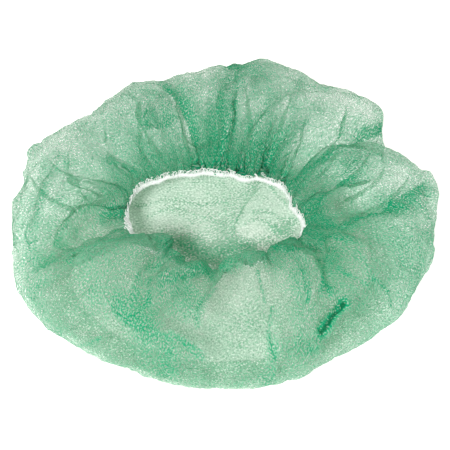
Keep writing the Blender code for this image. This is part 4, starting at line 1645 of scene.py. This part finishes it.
def make_thread():
    """White polyester thread, a little glossy, with the slant of its twist."""
    material, tree, surface = new_finish("thread_white", Roughness=0.5)
    place = put(tree, "ShaderNodeTexCoord").outputs["Object"]
    twist = noise(tree, place, TWISTS_PER_METRE).outputs["Fac"]
    colour = blend_colours(tree, twist, THREAD_SHADE, THREAD_WHITE)
    colour_and_relief(tree, surface, colour, twist, THREAD_RELIEF)
    return material


knit_white = make_knit()
thread_white = make_thread()
ribbon.data.materials.append(knit_white)
print("Finishes:", knit_white.name, "and", thread_white.name)

# %% Overlock the ribbon to the cloth
WRAPS = 330
EDGE_LOOPS = 310
LOOP_SEED = 19
LOOP_REACHES = (0.0003, 0.0014)
LOOP_RISES = (0.0005, 0.0012)
LOOP_SLOPES = (0.05, 0.40)


def along_edge(count, draws, jitter):
    """Uneven places along the edge, as indices into it."""
    steps = (np.arange(count) + draws.uniform(-jitter, jitter, size=count)) / count * FINE_AROUND
    return np.round(steps).astype(int) % FINE_AROUND


def jittered(ways, aside, draws, amount):
    """Those ways, each leaning a little to one side."""
    return unit(ways + aside * draws.normal(0.0, amount, size=len(ways))[:, None])


draws = np.random.default_rng(LOOP_SEED)
picked = along_edge(WRAPS, draws, 0.3)
wraps = set_stitches(
    stitch_tree, "overlock_wraps", ribbon_middle[picked],
    jittered(edge_onward[picked], edge_forward[picked], draws, 0.22), edge_outward[picked],
    Loop_length=0.0042, Loop_width=0.0017, Thread_radius=0.00017, Spread=0.1, Seed=3, Thread=thread_white,
)
picked = along_edge(EDGE_LOOPS, draws, 0.45)
reaching = draws.uniform(*LOOP_REACHES, size=EDGE_LOOPS)[:, None]
loop_places = ribbon_middle[picked] - edge_onward[picked] * (RIBBON_WIDTH / 2 + reaching)
over_cloth = top_of_cloth(loop_places, edge_outward[picked])[:, None]
over_cloth = over_cloth + draws.uniform(*LOOP_RISES, size=(EDGE_LOOPS, 1))
loop_places = loop_places + edge_outward[picked] * over_cloth
long_ways = jittered(-edge_onward[picked], edge_forward[picked], draws, 0.35)
long_ways = unit(long_ways + edge_outward[picked] * draws.uniform(*LOOP_SLOPES, size=(EDGE_LOOPS, 1)))
loops = set_stitches(
    stitch_tree, "overlock_loops", loop_places, long_ways, edge_forward[picked],
    Loop_length=0.0030, Loop_width=0.0022, Thread_radius=0.00020, Spread=0.30, Seed=8, Thread=thread_white,
)
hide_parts("elastic_band")
for piece in (ribbon, wraps, loops):
    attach(piece, "root")
stitch_faces = len(wraps.data.polygons) + len(loops.data.polygons)
print("Set", WRAPS, "wraps and", EDGE_LOOPS, "loops:", stitch_faces, "faces")

# %% [markdown]
# ## Finishing
#
# Both boxes, the plain cap's and the dressed cap's, are printed. The dressed cap has to stay inside the
# plain one's box, apart from what cloth may stand proud.

# %% Measure and finish
dressed_box = corners_as_lists(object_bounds())
for label, box in (("plain", plain_box), ("dressed", dressed_box)):
    print(label, [round((high - low) * 1000, 1) for low, high in zip(*box)], "mm")
